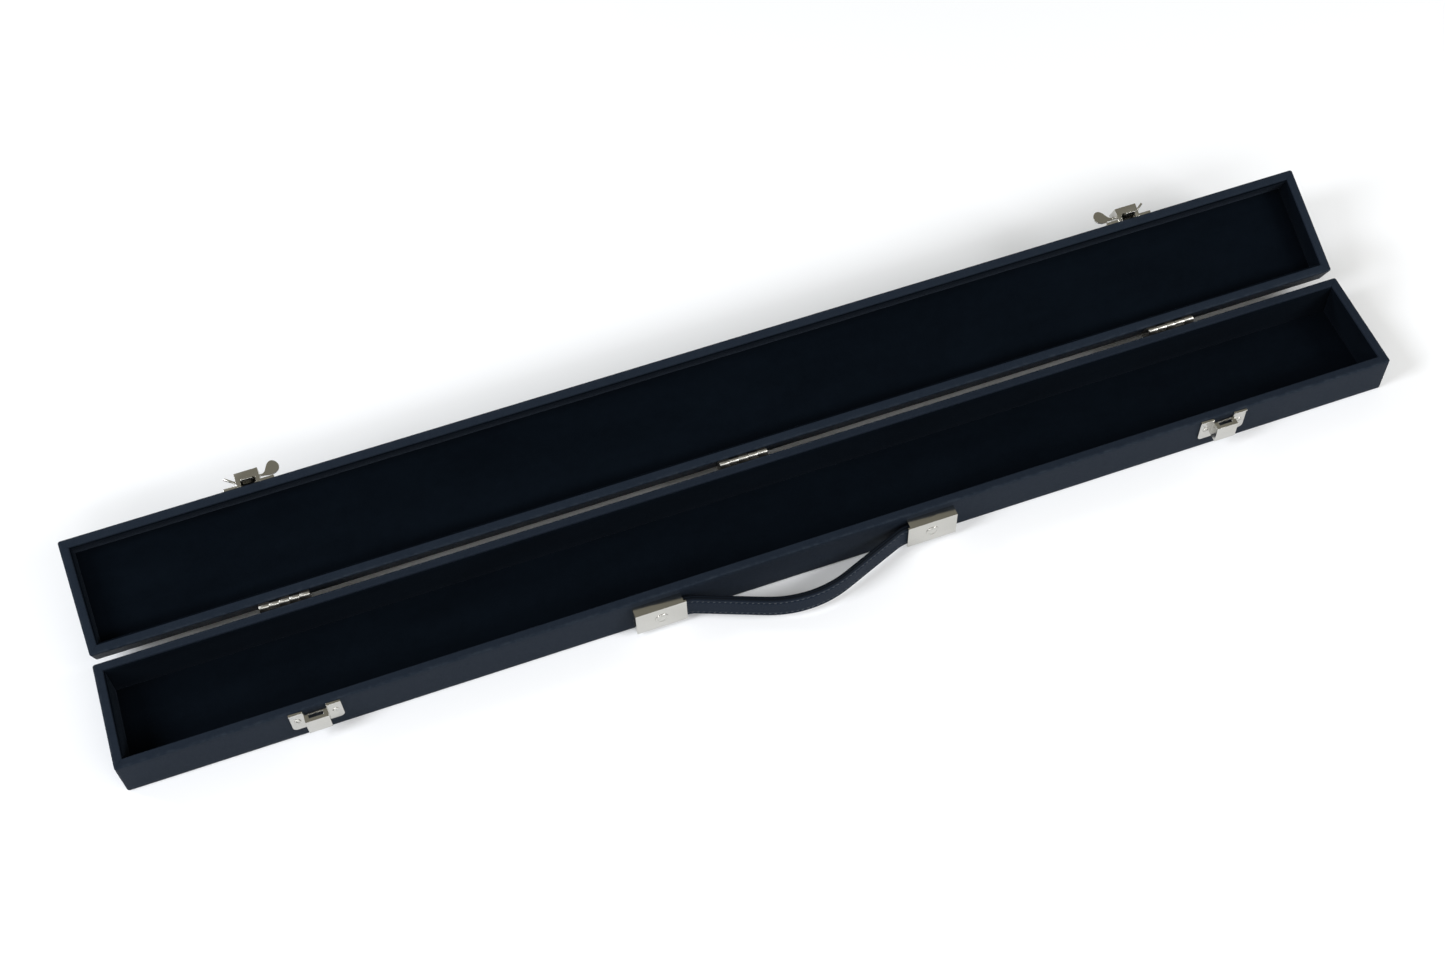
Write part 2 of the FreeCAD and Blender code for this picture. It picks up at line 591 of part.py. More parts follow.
def latches():
    """Two latches on the lid, their keepers on the box, and the rivets of both."""
    lid_rivets, box_rivets = [], []
    for side, step in (("left", -1), ("right", 1)):
        latch(side, step)
        keeper(f"{side}_keeper", f"({step} * latch_spacing)")
        for end in (-1, 1):
            x = f"({step} * latch_spacing + {end} * ear_pitch / 2)"
            face = f"(-{HALF_WIDTH} - plate)"
            shank = "plate + cover + board"
            for rivets, z in (
                (box_rivets, "(box_height - keeper_drop - keeper_height / 2)"),
                (lid_rivets, f"({LID_RIM} + hood_lift + hood_height / 2)"),
            ):
                made = rivet(
                    f"{side}_plate_rivet", x, face, z, 1, shank, "rivet_radius", "rivet_head_radius", "rivet_head"
                )
                rivets.append(made)
    group("keeper_rivets", box_rivets)
    group("latch_plate_rivets", lid_rivets, True)


def bowed_strip(label, nearer, further, height):
    """A strip that lies flat in both caps and bows out between them.

    nearer and further are its faces' distances from the strap's middle surface. Each half is a
    flat end, a bend, a straight slope and half of the crest, all tangent to each other.
    """
    half_span = size("cap_pitch") / 2 - size("cap_length") / 2 + size("bend_inset")
    flat = size("cap_length") - size("cap_sheet") - size("strap_end_gap") - size("bend_inset")
    bend, crest, bow = size("bend_radius"), size("crest_radius"), size("strap_bow")
    radii, rest = bend + crest, bend + crest - bow
    slope = math.atan2(half_span, rest) - math.acos(radii / math.hypot(half_span, rest))

    def face_points(offset):
        """One face's points from the left end to the right: ends, tangent points and arc middles."""
        points = [(-half_span - flat, offset), (-half_span, offset)]
        for turn in (slope / 2, slope):
            radius = bend - offset
            points.append((-half_span + radius * math.sin(turn), bend - radius * math.cos(turn)))
        radius = crest + offset
        points.append((-radius * math.sin(slope), bow - crest + radius * math.cos(slope)))
        points.append((0.0, bow + offset))
        mirrored = [(-x, out) for x, out in reversed(points[:-1])]
        return [FreeCAD.Vector(x, -out, 0) for x, out in points + mirrored]

    def face_edges(points):
        a, b, c, d, e, f, g, k, m, n, p = points
        return [
            Part.makeLine(a, b), Part.Arc(b, c, d).toShape(), Part.makeLine(d, e),
            Part.Arc(e, f, g).toShape(), Part.makeLine(g, k),
            Part.Arc(k, m, n).toShape(), Part.makeLine(n, p),
        ]

    inside, outside = face_points(nearer), face_points(further)
    edges = face_edges(inside) + [Part.makeLine(inside[-1], outside[-1])]
    edges += face_edges(outside) + [Part.makeLine(outside[0], inside[0])]
    outline = Part.Wire(Part.__sortEdges__(edges))
    strip = doc.addObject("Part::Feature", label)
    strip.Shape = Part.Face(outline).extrude(FreeCAD.Vector(0, 0, size(height)))
    middle = size("box_height") / 2 - size("handle_lowered")
    strip.Placement.Base = FreeCAD.Vector(
        size("handle_shift"), -size("case_width") / 2 - size("strap_out"), middle - size(height) / 2
    )
    keep(strip, label)


def handle():
    """The bowed strap of two plies on a steel strip, its end caps, rivets and backing plates."""
    ply, core = size("ply"), size("core")
    bowed_strip("handle_inner_ply", -core / 2 - ply, -core / 2, "strap_height")
    bowed_strip("handle_core_strip", -core / 2, core / 2, "core_height")
    bowed_strip("handle_outer_ply", core / 2, core / 2 + ply, "strap_height")
    rivets = []
    for side, step in (("left", -1), ("right", 1)):
        middle = f"(handle_shift + {step} * cap_pitch / 2)"
        body = new_body(f"{side}_handle_cap")
        front = sketch_on(body, "XZ_Plane")
        draw_rectangle(front, "-cap_length / 2", "cap_length / 2", "-cap_height / 2", "cap_height / 2")
        pad(body, front, "cap_depth")
        hollow = sketch_on(body, "XZ_Plane")
        end, mouth = f"{step} * (cap_length / 2 - cap_sheet)", f"{-step} * cap_length / 2"
        inside = "(cap_height / 2 - cap_sheet)"
        draw_rectangle(hollow, end, mouth, f"-{inside}", inside)
        pocket(body, hollow, "cap_depth - cap_sheet", along_normal=True)
        place(body, middle, f"-{HALF_WIDTH}", HANDLE_Z)
        at = f"({middle} - {step} * cap_rivet_shift)"
        shank = "cap_depth + cover + board + backing"
        rivets.append(rivet(
            f"{side}_cap_rivet", at, f"(-{HALF_WIDTH} - cap_depth)", HANDLE_Z, 1, shank,
            "cap_rivet_radius", "cap_rivet_head_radius", "cap_rivet_head",
        ))
        inner_face = f"-{HALF_WIDTH} + cover + board"
        block(
            f"{side}_handle_backing_plate",
            (f"{at} - backing_length / 2", inner_face, f"{HANDLE_Z} - backing_height / 2"),
            (f"{at} + backing_length / 2", f"{inner_face} + backing", f"{HANDLE_Z} + backing_height / 2"),
        )
    group("handle_cap_rivets", rivets)


def check_document():
    """Stops with a message if a feature failed, a pocket cut nothing or a piece is not sound."""
    for thing in doc.Objects:
        if "Invalid" in thing.State or "Error" in thing.State:
            raise RuntimeError(f"{thing.Label} failed: {thing.State}")
        if thing.TypeId == "PartDesign::Pocket":
            if thing.Shape.Volume > thing.BaseFeature.Shape.Volume - 0.01:
                raise RuntimeError(f"{thing.Label} cuts nothing")
    for piece in pieces:
        if piece.Shape.isNull() or not piece.Shape.isValid() or not piece.Shape.Solids:
            raise RuntimeError(f"{piece.Label} is not a sound solid")


case_half("box", "box_height", "floor_panel", False)
case_half("lid", "lid_height", "lid_panel", True)
hinges()
latches()
handle()
doc.recompute()
check_document()
os.makedirs("parts", exist_ok=True)
for piece in pieces:
    piece.Shape.exportStep(f"parts/{piece.Label}.step")
print(len(pieces), "pieces")
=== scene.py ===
import json
import math

import bmesh
import bpy
from mathutils import Matrix, Vector, noise


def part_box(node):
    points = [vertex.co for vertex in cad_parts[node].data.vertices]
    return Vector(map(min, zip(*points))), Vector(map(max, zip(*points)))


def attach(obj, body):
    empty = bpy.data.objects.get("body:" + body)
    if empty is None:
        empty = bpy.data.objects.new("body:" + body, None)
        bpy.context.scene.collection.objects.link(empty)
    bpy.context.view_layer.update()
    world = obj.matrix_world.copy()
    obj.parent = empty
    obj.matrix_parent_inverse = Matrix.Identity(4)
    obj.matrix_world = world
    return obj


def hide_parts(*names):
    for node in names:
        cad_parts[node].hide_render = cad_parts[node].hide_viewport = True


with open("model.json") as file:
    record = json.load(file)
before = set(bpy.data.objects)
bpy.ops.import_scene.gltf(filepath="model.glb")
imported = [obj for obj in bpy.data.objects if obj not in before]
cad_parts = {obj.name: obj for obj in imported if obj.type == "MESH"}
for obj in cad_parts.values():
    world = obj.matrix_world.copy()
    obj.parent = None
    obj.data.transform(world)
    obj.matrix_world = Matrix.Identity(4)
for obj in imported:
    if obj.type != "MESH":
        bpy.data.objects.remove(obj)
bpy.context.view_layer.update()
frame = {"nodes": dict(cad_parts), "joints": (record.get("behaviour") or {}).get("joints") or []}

# ---- The camera, the floor and the light ------------------------------------------------------
# Not part of the case. The camera stands in front and well above it, over a plain matt paper
# floor. Softboxes stand at the front right, the left, far in front, and behind at the left, where
# little of their light falls between box and lid. The rest of the room is dim and warm.
MM = 0.001

CAMERA_PLACE = (-0.2269, -0.6580, 1.1314)
CAMERA_AZIMUTH, CAMERA_ELEVATION, CAMERA_ROLL = 16.91, 56.94, -3.09
camera_data = bpy.data.cameras.new("camera")
camera_data.lens, camera_data.sensor_width = 51.69, 36.0
camera = bpy.data.objects.new("camera", camera_data)
bpy.context.collection.objects.link(camera)
turn = Matrix.Rotation(math.radians(-CAMERA_AZIMUTH), 4, "Z")
turn = turn @ Matrix.Rotation(math.radians(90 - CAMERA_ELEVATION), 4, "X")
turn = turn @ Matrix.Rotation(math.radians(CAMERA_ROLL), 4, "Z")
camera.matrix_world = Matrix.Translation(CAMERA_PLACE) @ turn
bpy.context.scene.camera = camera
bpy.context.scene.view_settings.view_transform = "Standard"


class Socket:
    """A shader output that Python's arithmetic can be written on."""

    def __init__(self, finish, output):
        self.finish, self.output = finish, output

    def join(self, operation, first, second):
        return self.finish.node("ShaderNodeMath", {"operation": operation}, {0: first, 1: second})

    def __add__(self, other):
        return self.join("ADD", self, other)

    def __sub__(self, other):
        return self.join("SUBTRACT", self, other)

    def __rsub__(self, other):
        return self.join("SUBTRACT", other, self)

    def __mul__(self, other):
        return self.join("MULTIPLY", self, other)

    __radd__, __rmul__ = __add__, __mul__


class Finish:
    """One material: a Principled shader with even values set on it and varying ones linked."""

    def __init__(self, name, **even):
        self.material = bpy.data.materials.new(name)
        self.material.use_nodes = True
        self.tree = self.material.node_tree
        self.shader = self.tree.nodes["Principled BSDF"]
        for socket, value in even.items():
            self.shader.inputs[socket.replace("_", " ")].default_value = value
        self.place = self.node("ShaderNodeTexCoord", {}, {}, "Object")

    def node(self, kind, settings, sockets, output=0):
        """Adds a node: its settings first, then the values or links of its sockets."""
        made = self.tree.nodes.new(kind)
        for setting, value in settings.items():
            if setting == "stops":
                made.color_ramp.elements[0].position, made.color_ramp.elements[0].color = value[0]
                made.color_ramp.elements[1].position, made.color_ramp.elements[1].color = value[-1]
                for position, colour in value[1:-1]:
                    made.color_ramp.elements.new(position).color = colour
            else:
                setattr(made, setting, value)
        for socket, value in sockets.items():
            if isinstance(value, Socket):
                self.tree.links.new(value.output, made.inputs[socket])
            else:
                made.inputs[socket].default_value = value
        return Socket(self, made.outputs[output])

    def feed(self, socket, value):
        self.tree.links.new(value.output, self.shader.inputs[socket])

    def noise(self, size, detail=2.0, roughness=0.5, place=None, stretch=None):
        """Cloudy noise whose lumps are about size metres across."""
        place = place or self.place
        if stretch:
            place = self.node("ShaderNodeMapping", {}, {"Vector": place, "Scale": stretch})
        sockets = {"Vector": place, "Scale": 1 / size, "Detail": detail, "Roughness": roughness}
        return self.node("ShaderNodeTexNoise", {}, sockets, "Fac")

    def cells(self, size, feature="DISTANCE_TO_EDGE", place=None):
        """Cells about size metres across: the distance to their borders or their centres."""
        sockets = {"Vector": place or self.place, "Scale": 1 / size}
        return self.node("ShaderNodeTexVoronoi", {"feature": feature}, sockets, "Distance")

    def spread(self, value, low, high):
        """Maps low..high to 0..1 and clamps."""
        sockets = {"Value": value, "From Min": low, "From Max": high}
        return self.node("ShaderNodeMapRange", {}, sockets, "Result")

    def mix(self, factor, first, second):
        """A colour between two colours."""
        sockets = {"Factor": factor, 6: first, 7: second}
        return self.node("ShaderNodeMix", {"data_type": "RGBA"}, sockets, 2)

    def bump(self, height, depth, strength=1.0):
        """Raises the surface by height, 0 to 1, times depth metres."""
        sockets = {"Height": height, "Distance": depth, "Strength": strength}
        self.feed("Normal", self.node("ShaderNodeBump", {}, sockets, "Normal"))


def new_object(name, mesh, *materials):
    thing = bpy.data.objects.new(name, mesh)
    bpy.context.collection.objects.link(thing)
    for material in materials:
        mesh.materials.append(material)
    return thing


def from_bmesh(name, form, *materials, smooth=True):
    """Makes an object of a bmesh, with its faces smooth or flat."""
    for face in form.faces:
        face.smooth = smooth
    mesh = bpy.data.meshes.new(name)
    form.to_mesh(mesh)
    form.free()
    return new_object(name, mesh, *materials)


paper = Finish("pale_paper", Roughness=0.9, Specular_IOR_Level=0.1)
paper.feed("Base Color", paper.mix(paper.noise(0.25), (0.915, 0.925, 0.945, 1), (0.945, 0.955, 0.975, 1)))
floor_form = bmesh.new()
bmesh.ops.create_grid(floor_form, x_segments=2, y_segments=2, size=6.0)
floor = from_bmesh("floor", floor_form, paper.material)


def softbox(name, place, aim, size, power, colour):
    lamp = bpy.data.lights.new(name, "AREA")
    lamp.shape, lamp.size, lamp.size_y = "RECTANGLE", size[0], size[1]
    lamp.energy, lamp.color = power, colour
    holder = bpy.data.objects.new(name, lamp)
    bpy.context.collection.objects.link(holder)
    holder.location = place
    holder.rotation_euler = (Vector(aim) - Vector(place)).to_track_quat("-Z", "Y").to_euler()


softbox("right_softbox", (1.80, -1.25, 1.35), (0.1, 0, 0), (0.9, 1.0), 38.0, (0.99, 0.99, 1.0))
softbox("left_softbox", (-1.90, -0.35, 1.55), (-0.1, 0, 0), (0.7, 1.3), 33.0, (0.97, 0.99, 1.03))
softbox("front_softbox", (0.05, -1.75, 1.50), (0, 0, 0), (2.4, 0.6), 20.0, (0.97, 0.99, 1.03))
softbox("back_softbox", (-1.95, 1.60, 1.65), (0.1, 0.1, 0), (1.0, 0.8), 30.0, (0.96, 0.99, 1.05))
world = bpy.data.worlds.new("studio")
bpy.context.scene.world = world
world.use_nodes = True
world.node_tree.nodes["Background"].inputs["Color"].default_value = (0.91, 0.87, 0.72, 1)
world.node_tree.nodes["Background"].inputs["Strength"].default_value = 0.28

# ---- Leathercloth over the box and the lid ----------------------------------------------------
# Grained black leathercloth glued round the wooden walls: up the outside, over the rim and a few
# millimetres down the inside, mitred at the rim's corners, with one butt seam at the back. A flat
# sheet is glued over the box's underside and over the lid's top, a little in from the edges.
hinge = next(joint for joint in frame["joints"] if joint["name"] == "lid_hinge")
HINGE_AT = Vector(hinge["pos_m"])
OPEN_BY = math.radians(hinge["range_deg"][1])
OPENED = Matrix.Translation(HINGE_AT) @ Matrix.Rotation(-OPEN_BY, 4, "X") @ Matrix.Translation(-HINGE_AT)
CLOSED = OPENED.inverted()


def closed_box(node):
    """A node's lowest and highest corners with the lid shut."""
    points = [CLOSED @ vertex.co for vertex in frame["nodes"][node].data.vertices]
    low = Vector(min(point[axis] for point in points) for axis in range(3))
    return low, Vector(max(point[axis] for point in points) for axis in range(3))


def finish_piece(piece, body, slot, *nodes):
    """Hangs a piece on the body it moves with and hides the nodes it stands for; slot is not used."""
    if nodes:
        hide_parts(*nodes)
    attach(piece, body)


def waver(point, lump, amount, seed=0.0):
    """Smooth unevenness at a point, up to about amount."""
    return amount * noise.noise(Vector((point[0] + seed, point[1], point[2])) / lump)


box_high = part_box("box_wall_covering")[1]
HALF_LENGTH, HALF_WIDTH, BOX_RIM = box_high.x, box_high.y, box_high.z
LID_RIM, LID_TOP = closed_box("lid_wall_covering")[0].z, closed_box("lid_top_covering")[1].z
WALL = HALF_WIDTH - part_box("box_floor_lining")[1].y
EDGE_ROUND, RIM_ROUND, INNER_ROUND = 1.1 * MM, 0.9 * MM, 0.6 * MM
CLOTH = 0.45 * MM
TURN_IN, TURN_UNDER = 4.5 * MM, 9.0 * MM
SHEET_INSET, SHEET_THICKNESS = 2.2 * MM, 0.3 * MM
SEAM_AT, SEAM_HALF, SEAM_SINK, SEAM_DIP = 0.36, 0.0009, 0.18 * MM, 0.12 * MM
LONG_PARTS, SHORT_PARTS, BEND_STEPS = 90, 10, 5
CORNER, LEAST_CORNER, MITRE_DIP = 1.6 * MM, 0.25 * MM, 0.16 * MM
SWAY, SWAY_LUMP, RIPPLE, RIPPLE_LUMP = 0.10 * MM, 45 * MM, 0.04 * MM, 11 * MM
RUBBED, UNRUBBED, RUBBED_CORNER = 0.85, 0.12, 0.35

leathercloth = Finish("leathercloth", Specular_IOR_Level=0.06, Specular_Tint=(0.5, 0.78, 1.0, 1))
pebbles = leathercloth.spread(leathercloth.cells(0.75 * MM), 0.0, 0.22)
fine_pebbles = leathercloth.spread(leathercloth.cells(0.32 * MM), 0.0, 0.3)
cloudy = leathercloth.noise(35 * MM, 3.0)
dust = leathercloth.spread(leathercloth.noise(2.2 * MM, 5.0, 0.65), 0.56, 0.78)
worn = leathercloth.node("ShaderNodeAttribute", {"attribute_name": "wear"}, {}, "Fac")
scuffs = leathercloth.spread(leathercloth.noise(5 * MM, 4.0, 0.7), 0.42, 0.62) * worn
shade = leathercloth.mix(cloudy, (0.0100, 0.0142, 0.0225, 1), (0.0138, 0.0190, 0.0292, 1))
shade = leathercloth.mix((1 - pebbles) * 0.6, shade, (0.0060, 0.0086, 0.0138, 1))
shade = leathercloth.mix(scuffs * 0.30 + dust * 0.04, shade, (0.040, 0.048, 0.060, 1))
leathercloth.feed("Base Color", shade)
leathercloth.feed("Roughness", 0.43 + cloudy * 0.10 + (1 - pebbles) * 0.16 + scuffs * 0.08)
leathercloth.bump(pebbles * 0.7 + fine_pebbles * 0.3, 0.05 * MM, 0.55)


def around(inset, corner, long_stops, short_stops):
    """Points round the case at an inset from its outside, with rounded corners.

    The straight sides are divided at stops, from 0 to 1. Each point comes with how far it is
    from being in the middle of a corner, 0 there and 1 outside.
    """
    half_x, half_y = HALF_LENGTH - inset, HALF_WIDTH - inset
    points = []
    quarter = math.pi / 2
    for side, (sign_x, sign_y) in enumerate(((1, -1), (1, 1), (-1, 1), (-1, -1))):
        centre_x, centre_y = sign_x * (half_x - corner), sign_y * (half_y - corner)
        for step in range(BEND_STEPS + 1):
            angle = (side - 1 + step / BEND_STEPS) * quarter
            off = abs(2 * step / BEND_STEPS - 1)
            points.append((centre_x + corner * math.cos(angle), centre_y + corner * math.sin(angle), off))
        stops = short_stops if side % 2 == 0 else long_stops
        next_x, next_y = ((sign_x, -sign_y) if side % 2 == 0 else (-sign_x, sign_y))
        start = Vector(points[-1][:2])
        end = Vector((next_x * (half_x - corner), next_y * half_y))
        if side % 2 == 0:
            end = Vector((next_x * half_x, next_y * (half_y - corner)))
        for stop in stops:
            point = start.lerp(end, stop)
            points.append((point.x, point.y, 1.0))
    return points


def arc(centre, radius, start, end, steps):
    """Points of an arc in a profile, angles in degrees."""
    angles = [math.radians(start + (end - start) * step / steps) for step in range(steps + 1)]
    return [(centre[0] + radius * math.cos(a), centre[1] + radius * math.sin(a)) for a in angles]


def wall_profile(height):
    """The cloth's outer line as (inset, depth below the rim), from under the edge to inside."""
    foot = height - SHEET_THICKNESS
    line = [(TURN_UNDER, foot), (TURN_UNDER * 0.5, foot)]
    line += arc((EDGE_ROUND, foot - EDGE_ROUND), EDGE_ROUND, 90, 180, 4)
    line += [(0.0, foot + (RIM_ROUND - foot) * step / 8) for step in range(1, 8)]
    line += arc((RIM_ROUND, RIM_ROUND), RIM_ROUND, 180, 270, 5)
    line += [(WALL * 0.35, 0.0), (WALL * 0.62, 0.0)]
    line += arc((WALL - INNER_ROUND, INNER_ROUND), INNER_ROUND, -90, 0, 4)
    line += [(WALL, TURN_IN * 0.6), (WALL, TURN_IN)]
    return line


def thickened(line):
    """Closes a profile by coming back along it one cloth thickness to the board's side."""
    back = []
    for index, (inset, depth) in enumerate(line):
        before, after = line[max(index - 1, 0)], line[min(index + 1, len(line) - 1)]
        along = Vector((after[0] - before[0], after[1] - before[1])).normalized()
        back.append((inset - along.y * CLOTH, depth + along.x * CLOTH))
    return line + back[::-1]


def covering(name, height, level, body, slot, nodes, opened):
    """Wraps the walls of one half; level turns a depth below its rim into a height."""
    line = wall_profile(height)
    outline = thickened(line)
    count = len(line)
    seam_stops = [SEAM_AT - SEAM_HALF, SEAM_AT, SEAM_AT + SEAM_HALF]
    long_stops = sorted([step / LONG_PARTS for step in range(1, LONG_PARTS)] + seam_stops)
    short_stops = [step / SHORT_PARTS for step in range(1, SHORT_PARTS)]
    seam_index = long_stops.index(SEAM_AT)
    form = bmesh.new()
    wear = form.verts.layers.float.new("wear")
    rings = []
    for place, (inset, depth) in enumerate(outline):
        corner = max(CORNER - inset, LEAST_CORNER)
        ring = []
        on_top = place < count
        loop = around(inset, corner, long_stops, short_stops)
        back_start = 2 * (BEND_STEPS + 1) + len(short_stops)
        for index, (x, y, off) in enumerate(loop):
            z_depth = depth
            if on_top and inset > RIM_ROUND and inset < WALL and depth < MM and off < 0.5:
                z_depth += MITRE_DIP
            if index == back_start + seam_index and on_top:
                y -= SEAM_SINK if inset < EDGE_ROUND else 0
                z_depth += SEAM_DIP if inset > RIM_ROUND and depth < MM else 0
            point = Vector((x, y, level(z_depth)))
            if on_top:
                sway = waver(point, SWAY_LUMP, SWAY) + waver(point, RIPPLE_LUMP, RIPPLE, 3.0)
                out = Vector((x / HALF_LENGTH, y / HALF_WIDTH))
                if depth > MM:
                    point.y += sway * (1 if abs(out.y) > abs(out.x) * 0.999 else 0)
                    point.x += sway * (1 if abs(out.x) > 0.999 else 0)
                elif RIM_ROUND <= inset <= WALL - INNER_ROUND:
                    point.z -= abs(sway) * 0.8
            vertex = form.verts.new(point)
            sharp = depth < RIM_ROUND and inset < RIM_ROUND * 1.5
            sharp = sharp or (depth > height - 2 * EDGE_ROUND and inset < EDGE_ROUND)
            vertex[wear] = RUBBED if sharp else UNRUBBED
            vertex[wear] += RUBBED_CORNER if off < 1 and inset < EDGE_ROUND else 0
            ring.append(vertex)
        rings.append(ring)
    for first, second in zip(rings, rings[1:] + rings[:1]):
        for index in range(len(first)):
            following = (index + 1) % len(first)
            form.faces.new((first[index], first[following], second[following], second[index]))
    bmesh.ops.recalc_face_normals(form, faces=form.faces[:])
    if opened:
        form.transform(OPENED)
    piece = from_bmesh(name, form, leathercloth.material)
    finish_piece(piece, body, slot, *nodes)
    return piece


def box_level(depth):
    return BOX_RIM - depth


def lid_level(depth):
    return LID_RIM + depth


covering("box_leathercloth", BOX_RIM, box_level, "box", "leathercloth", ["box_wall_covering"], False)
covering("lid_leathercloth", LID_TOP - LID_RIM, lid_level, "lid", "leathercloth", ["lid_wall_covering"], True)


def rounded_block(low, high, radius, segments, cuts):
    """A block with rounded edges, cut across into cuts strips each way so that it can be shaped."""
    form = bmesh.new()
    bmesh.ops.create_cube(form, size=1.0)
    low, high = Vector(low), Vector(high)
    for vertex in form.verts:
        for axis in range(3):
            vertex.co[axis] = low[axis] + (vertex.co[axis] + 0.5) * (high[axis] - low[axis])
    bmesh.ops.bevel(form, geom=form.edges[:], offset=radius, segments=segments, affect="EDGES", profile=0.5)
    for axis, count in enumerate(cuts):
        normal = Vector((axis == 0, axis == 1, axis == 2))
        for step in range(1, count):
            at = low.lerp(high, step / count)
            geometry = form.verts[:] + form.edges[:] + form.faces[:]
            bmesh.ops.bisect_plane(form, geom=geometry, plane_co=at, plane_no=normal, dist=1e-7)
    return form


SHEET_EDGE, SHEET_CUTS = 0.12 * MM, (60, 6, 1)
RUBBED_EDGE, RUBBED_FACE = 0.6, 0.15
SINK, UNDER_SIDE = 0.3, 0.05 * MM


def flat_sheet(name, outer, inner, body, node, opened):
    """A sheet glued flat over a panel, between two heights and a little in from the edges."""
    half_x, half_y = HALF_LENGTH - SHEET_INSET, HALF_WIDTH - SHEET_INSET
    low, high = sorted((outer, inner))
    corners = (-half_x, -half_y, low), (half_x, half_y, high)
    form = rounded_block(*corners, SHEET_EDGE, 2, SHEET_CUTS)
    wear = form.verts.layers.float.new("wear")
    for vertex in form.verts:
        side = min(half_x - abs(vertex.co.x), half_y - abs(vertex.co.y))
        vertex[wear] = RUBBED_EDGE if side < MM else RUBBED_FACE
        if abs(vertex.co.z - inner) < UNDER_SIDE:
            vertex.co.z += (inner - outer) * SINK
    if opened:
        form.transform(OPENED)
    piece = from_bmesh(name, form, leathercloth.material)
    finish_piece(piece, body, "leathercloth", node)


flat_sheet("box_underside_sheet", 0.0, SHEET_THICKNESS, "box", "box_bottom_covering", False)
flat_sheet("lid_top_sheet", LID_TOP, LID_TOP - SHEET_THICKNESS, "lid", "lid_top_covering", True)

# ---- Boards and panels ------------------------------------------------------------------------
# Fibreboard walls and panels, glued and pinned. They are hidden between the leathercloth and the
# lining, so they keep their plain sawn shape and get the brown felted look of the real board.
fibreboard = Finish("fibreboard", Specular_IOR_Level=0.3)
fibres = fibreboard.noise(1.2 * MM, 6.0, 0.7, stretch=(0.2, 1.0, 1.0))
fibreboard.feed("Base Color", fibreboard.mix(fibres, (0.30, 0.19, 0.11, 1), (0.46, 0.32, 0.20, 1)))
fibreboard.feed("Roughness", 0.72 + fibres * 0.2)
fibreboard.bump(fibres, 0.08 * MM)


def coat(node, finish):
    """Gives a carried-over node its finish."""
    mesh = frame["nodes"][node].data
    mesh.materials.clear()
    mesh.materials.append(finish.material)


for name in frame["nodes"]:
    if name.endswith("_board") or name.endswith("_panel"):
        coat(name, fibreboard)

# ---- Velvet lining ----------------------------------------------------------------------------
# Black velvet with a blue cast, glued over thin card and pressed into the box and the lid: one
# panel for each wall and one for the flat. Its edges are turned, and the pile lies unevenly.
velvet = Finish(
    "velvet", Roughness=0.95, Specular_IOR_Level=0.03, Sheen_Weight=0.07, Sheen_Roughness=0.35,
    Sheen_Tint=(0.30, 0.38, 0.52, 1),
)
nap = velvet.noise(26 * MM, 4.0, 0.6, stretch=(0.35, 1.0, 1.0))
brushed = velvet.noise(7 * MM, 3.0, 0.6)
pile = velvet.noise(0.30 * MM, 3.0, 0.7)
tufts = velvet.cells(0.45 * MM, "F1")
lie = nap * 0.7 + brushed * 0.3
black = velvet.mix(velvet.spread(lie, 0.35, 0.68), (0.0012, 0.0024, 0.0044, 1), (0.0020, 0.0038, 0.0067, 1))
velvet.feed("Base Color", velvet.mix(velvet.spread(pile, 0.55, 0.8) * 0.5, black, (0.005, 0.0075, 0.011, 1)))
velvet.bump(pile * 0.6 + tufts * 0.4, 0.22 * MM, 0.8)

NAP_EDGE, NAP_CUT, MOST_CUTS = 0.42 * MM, 6 * MM, 150
LIFT, LIFT_LUMP, TUFT, TUFT_LUMP, NAP_SINK = 0.16 * MM, 30 * MM, 0.07 * MM, 8 * MM, 0.1 * MM


def velvet_panel(node, body, faces_up):
    """Stands for one lining panel. faces_up is the way its pile faces, in the shut case."""
    opened = body == "lid"
    low, high = closed_box(node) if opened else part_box(node)
    size = high - low
    cuts = [max(1, min(MOST_CUTS, round(length / NAP_CUT))) if length > 2 * MM else 1 for length in size]
    form = rounded_block(low, high, NAP_EDGE, 3, cuts)
    up = Vector(faces_up)
    for vertex in form.verts:
        height = (vertex.co - low).dot(up) if sum(up) > 0 else (high - vertex.co).dot(-up)
        if height > size.dot(Vector(map(abs, up))) * 0.5:
            lift = waver(vertex.co, LIFT_LUMP, LIFT) + waver(vertex.co, TUFT_LUMP, TUFT, 5.0)
            vertex.co += up * (lift - NAP_SINK)
    if opened:
        form.transform(OPENED)
    piece = from_bmesh(node.replace("lining", "velvet"), form, velvet.material)
    finish_piece(piece, body, "velvet", node)


for half, flat, up in (("box", "floor_lining", (0, 0, 1)), ("lid", "top_lining", (0, 0, -1))):
    velvet_panel(f"{half}_{flat}", half, up)
    velvet_panel(f"{half}_front_lining", half, (0, 1, 0))
    velvet_panel(f"{half}_back_lining", half, (0, -1, 0))
    velvet_panel(f"{half}_left_end_lining", half, (1, 0, 0))
    velvet_panel(f"{half}_right_end_lining", half, (-1, 0, 0))
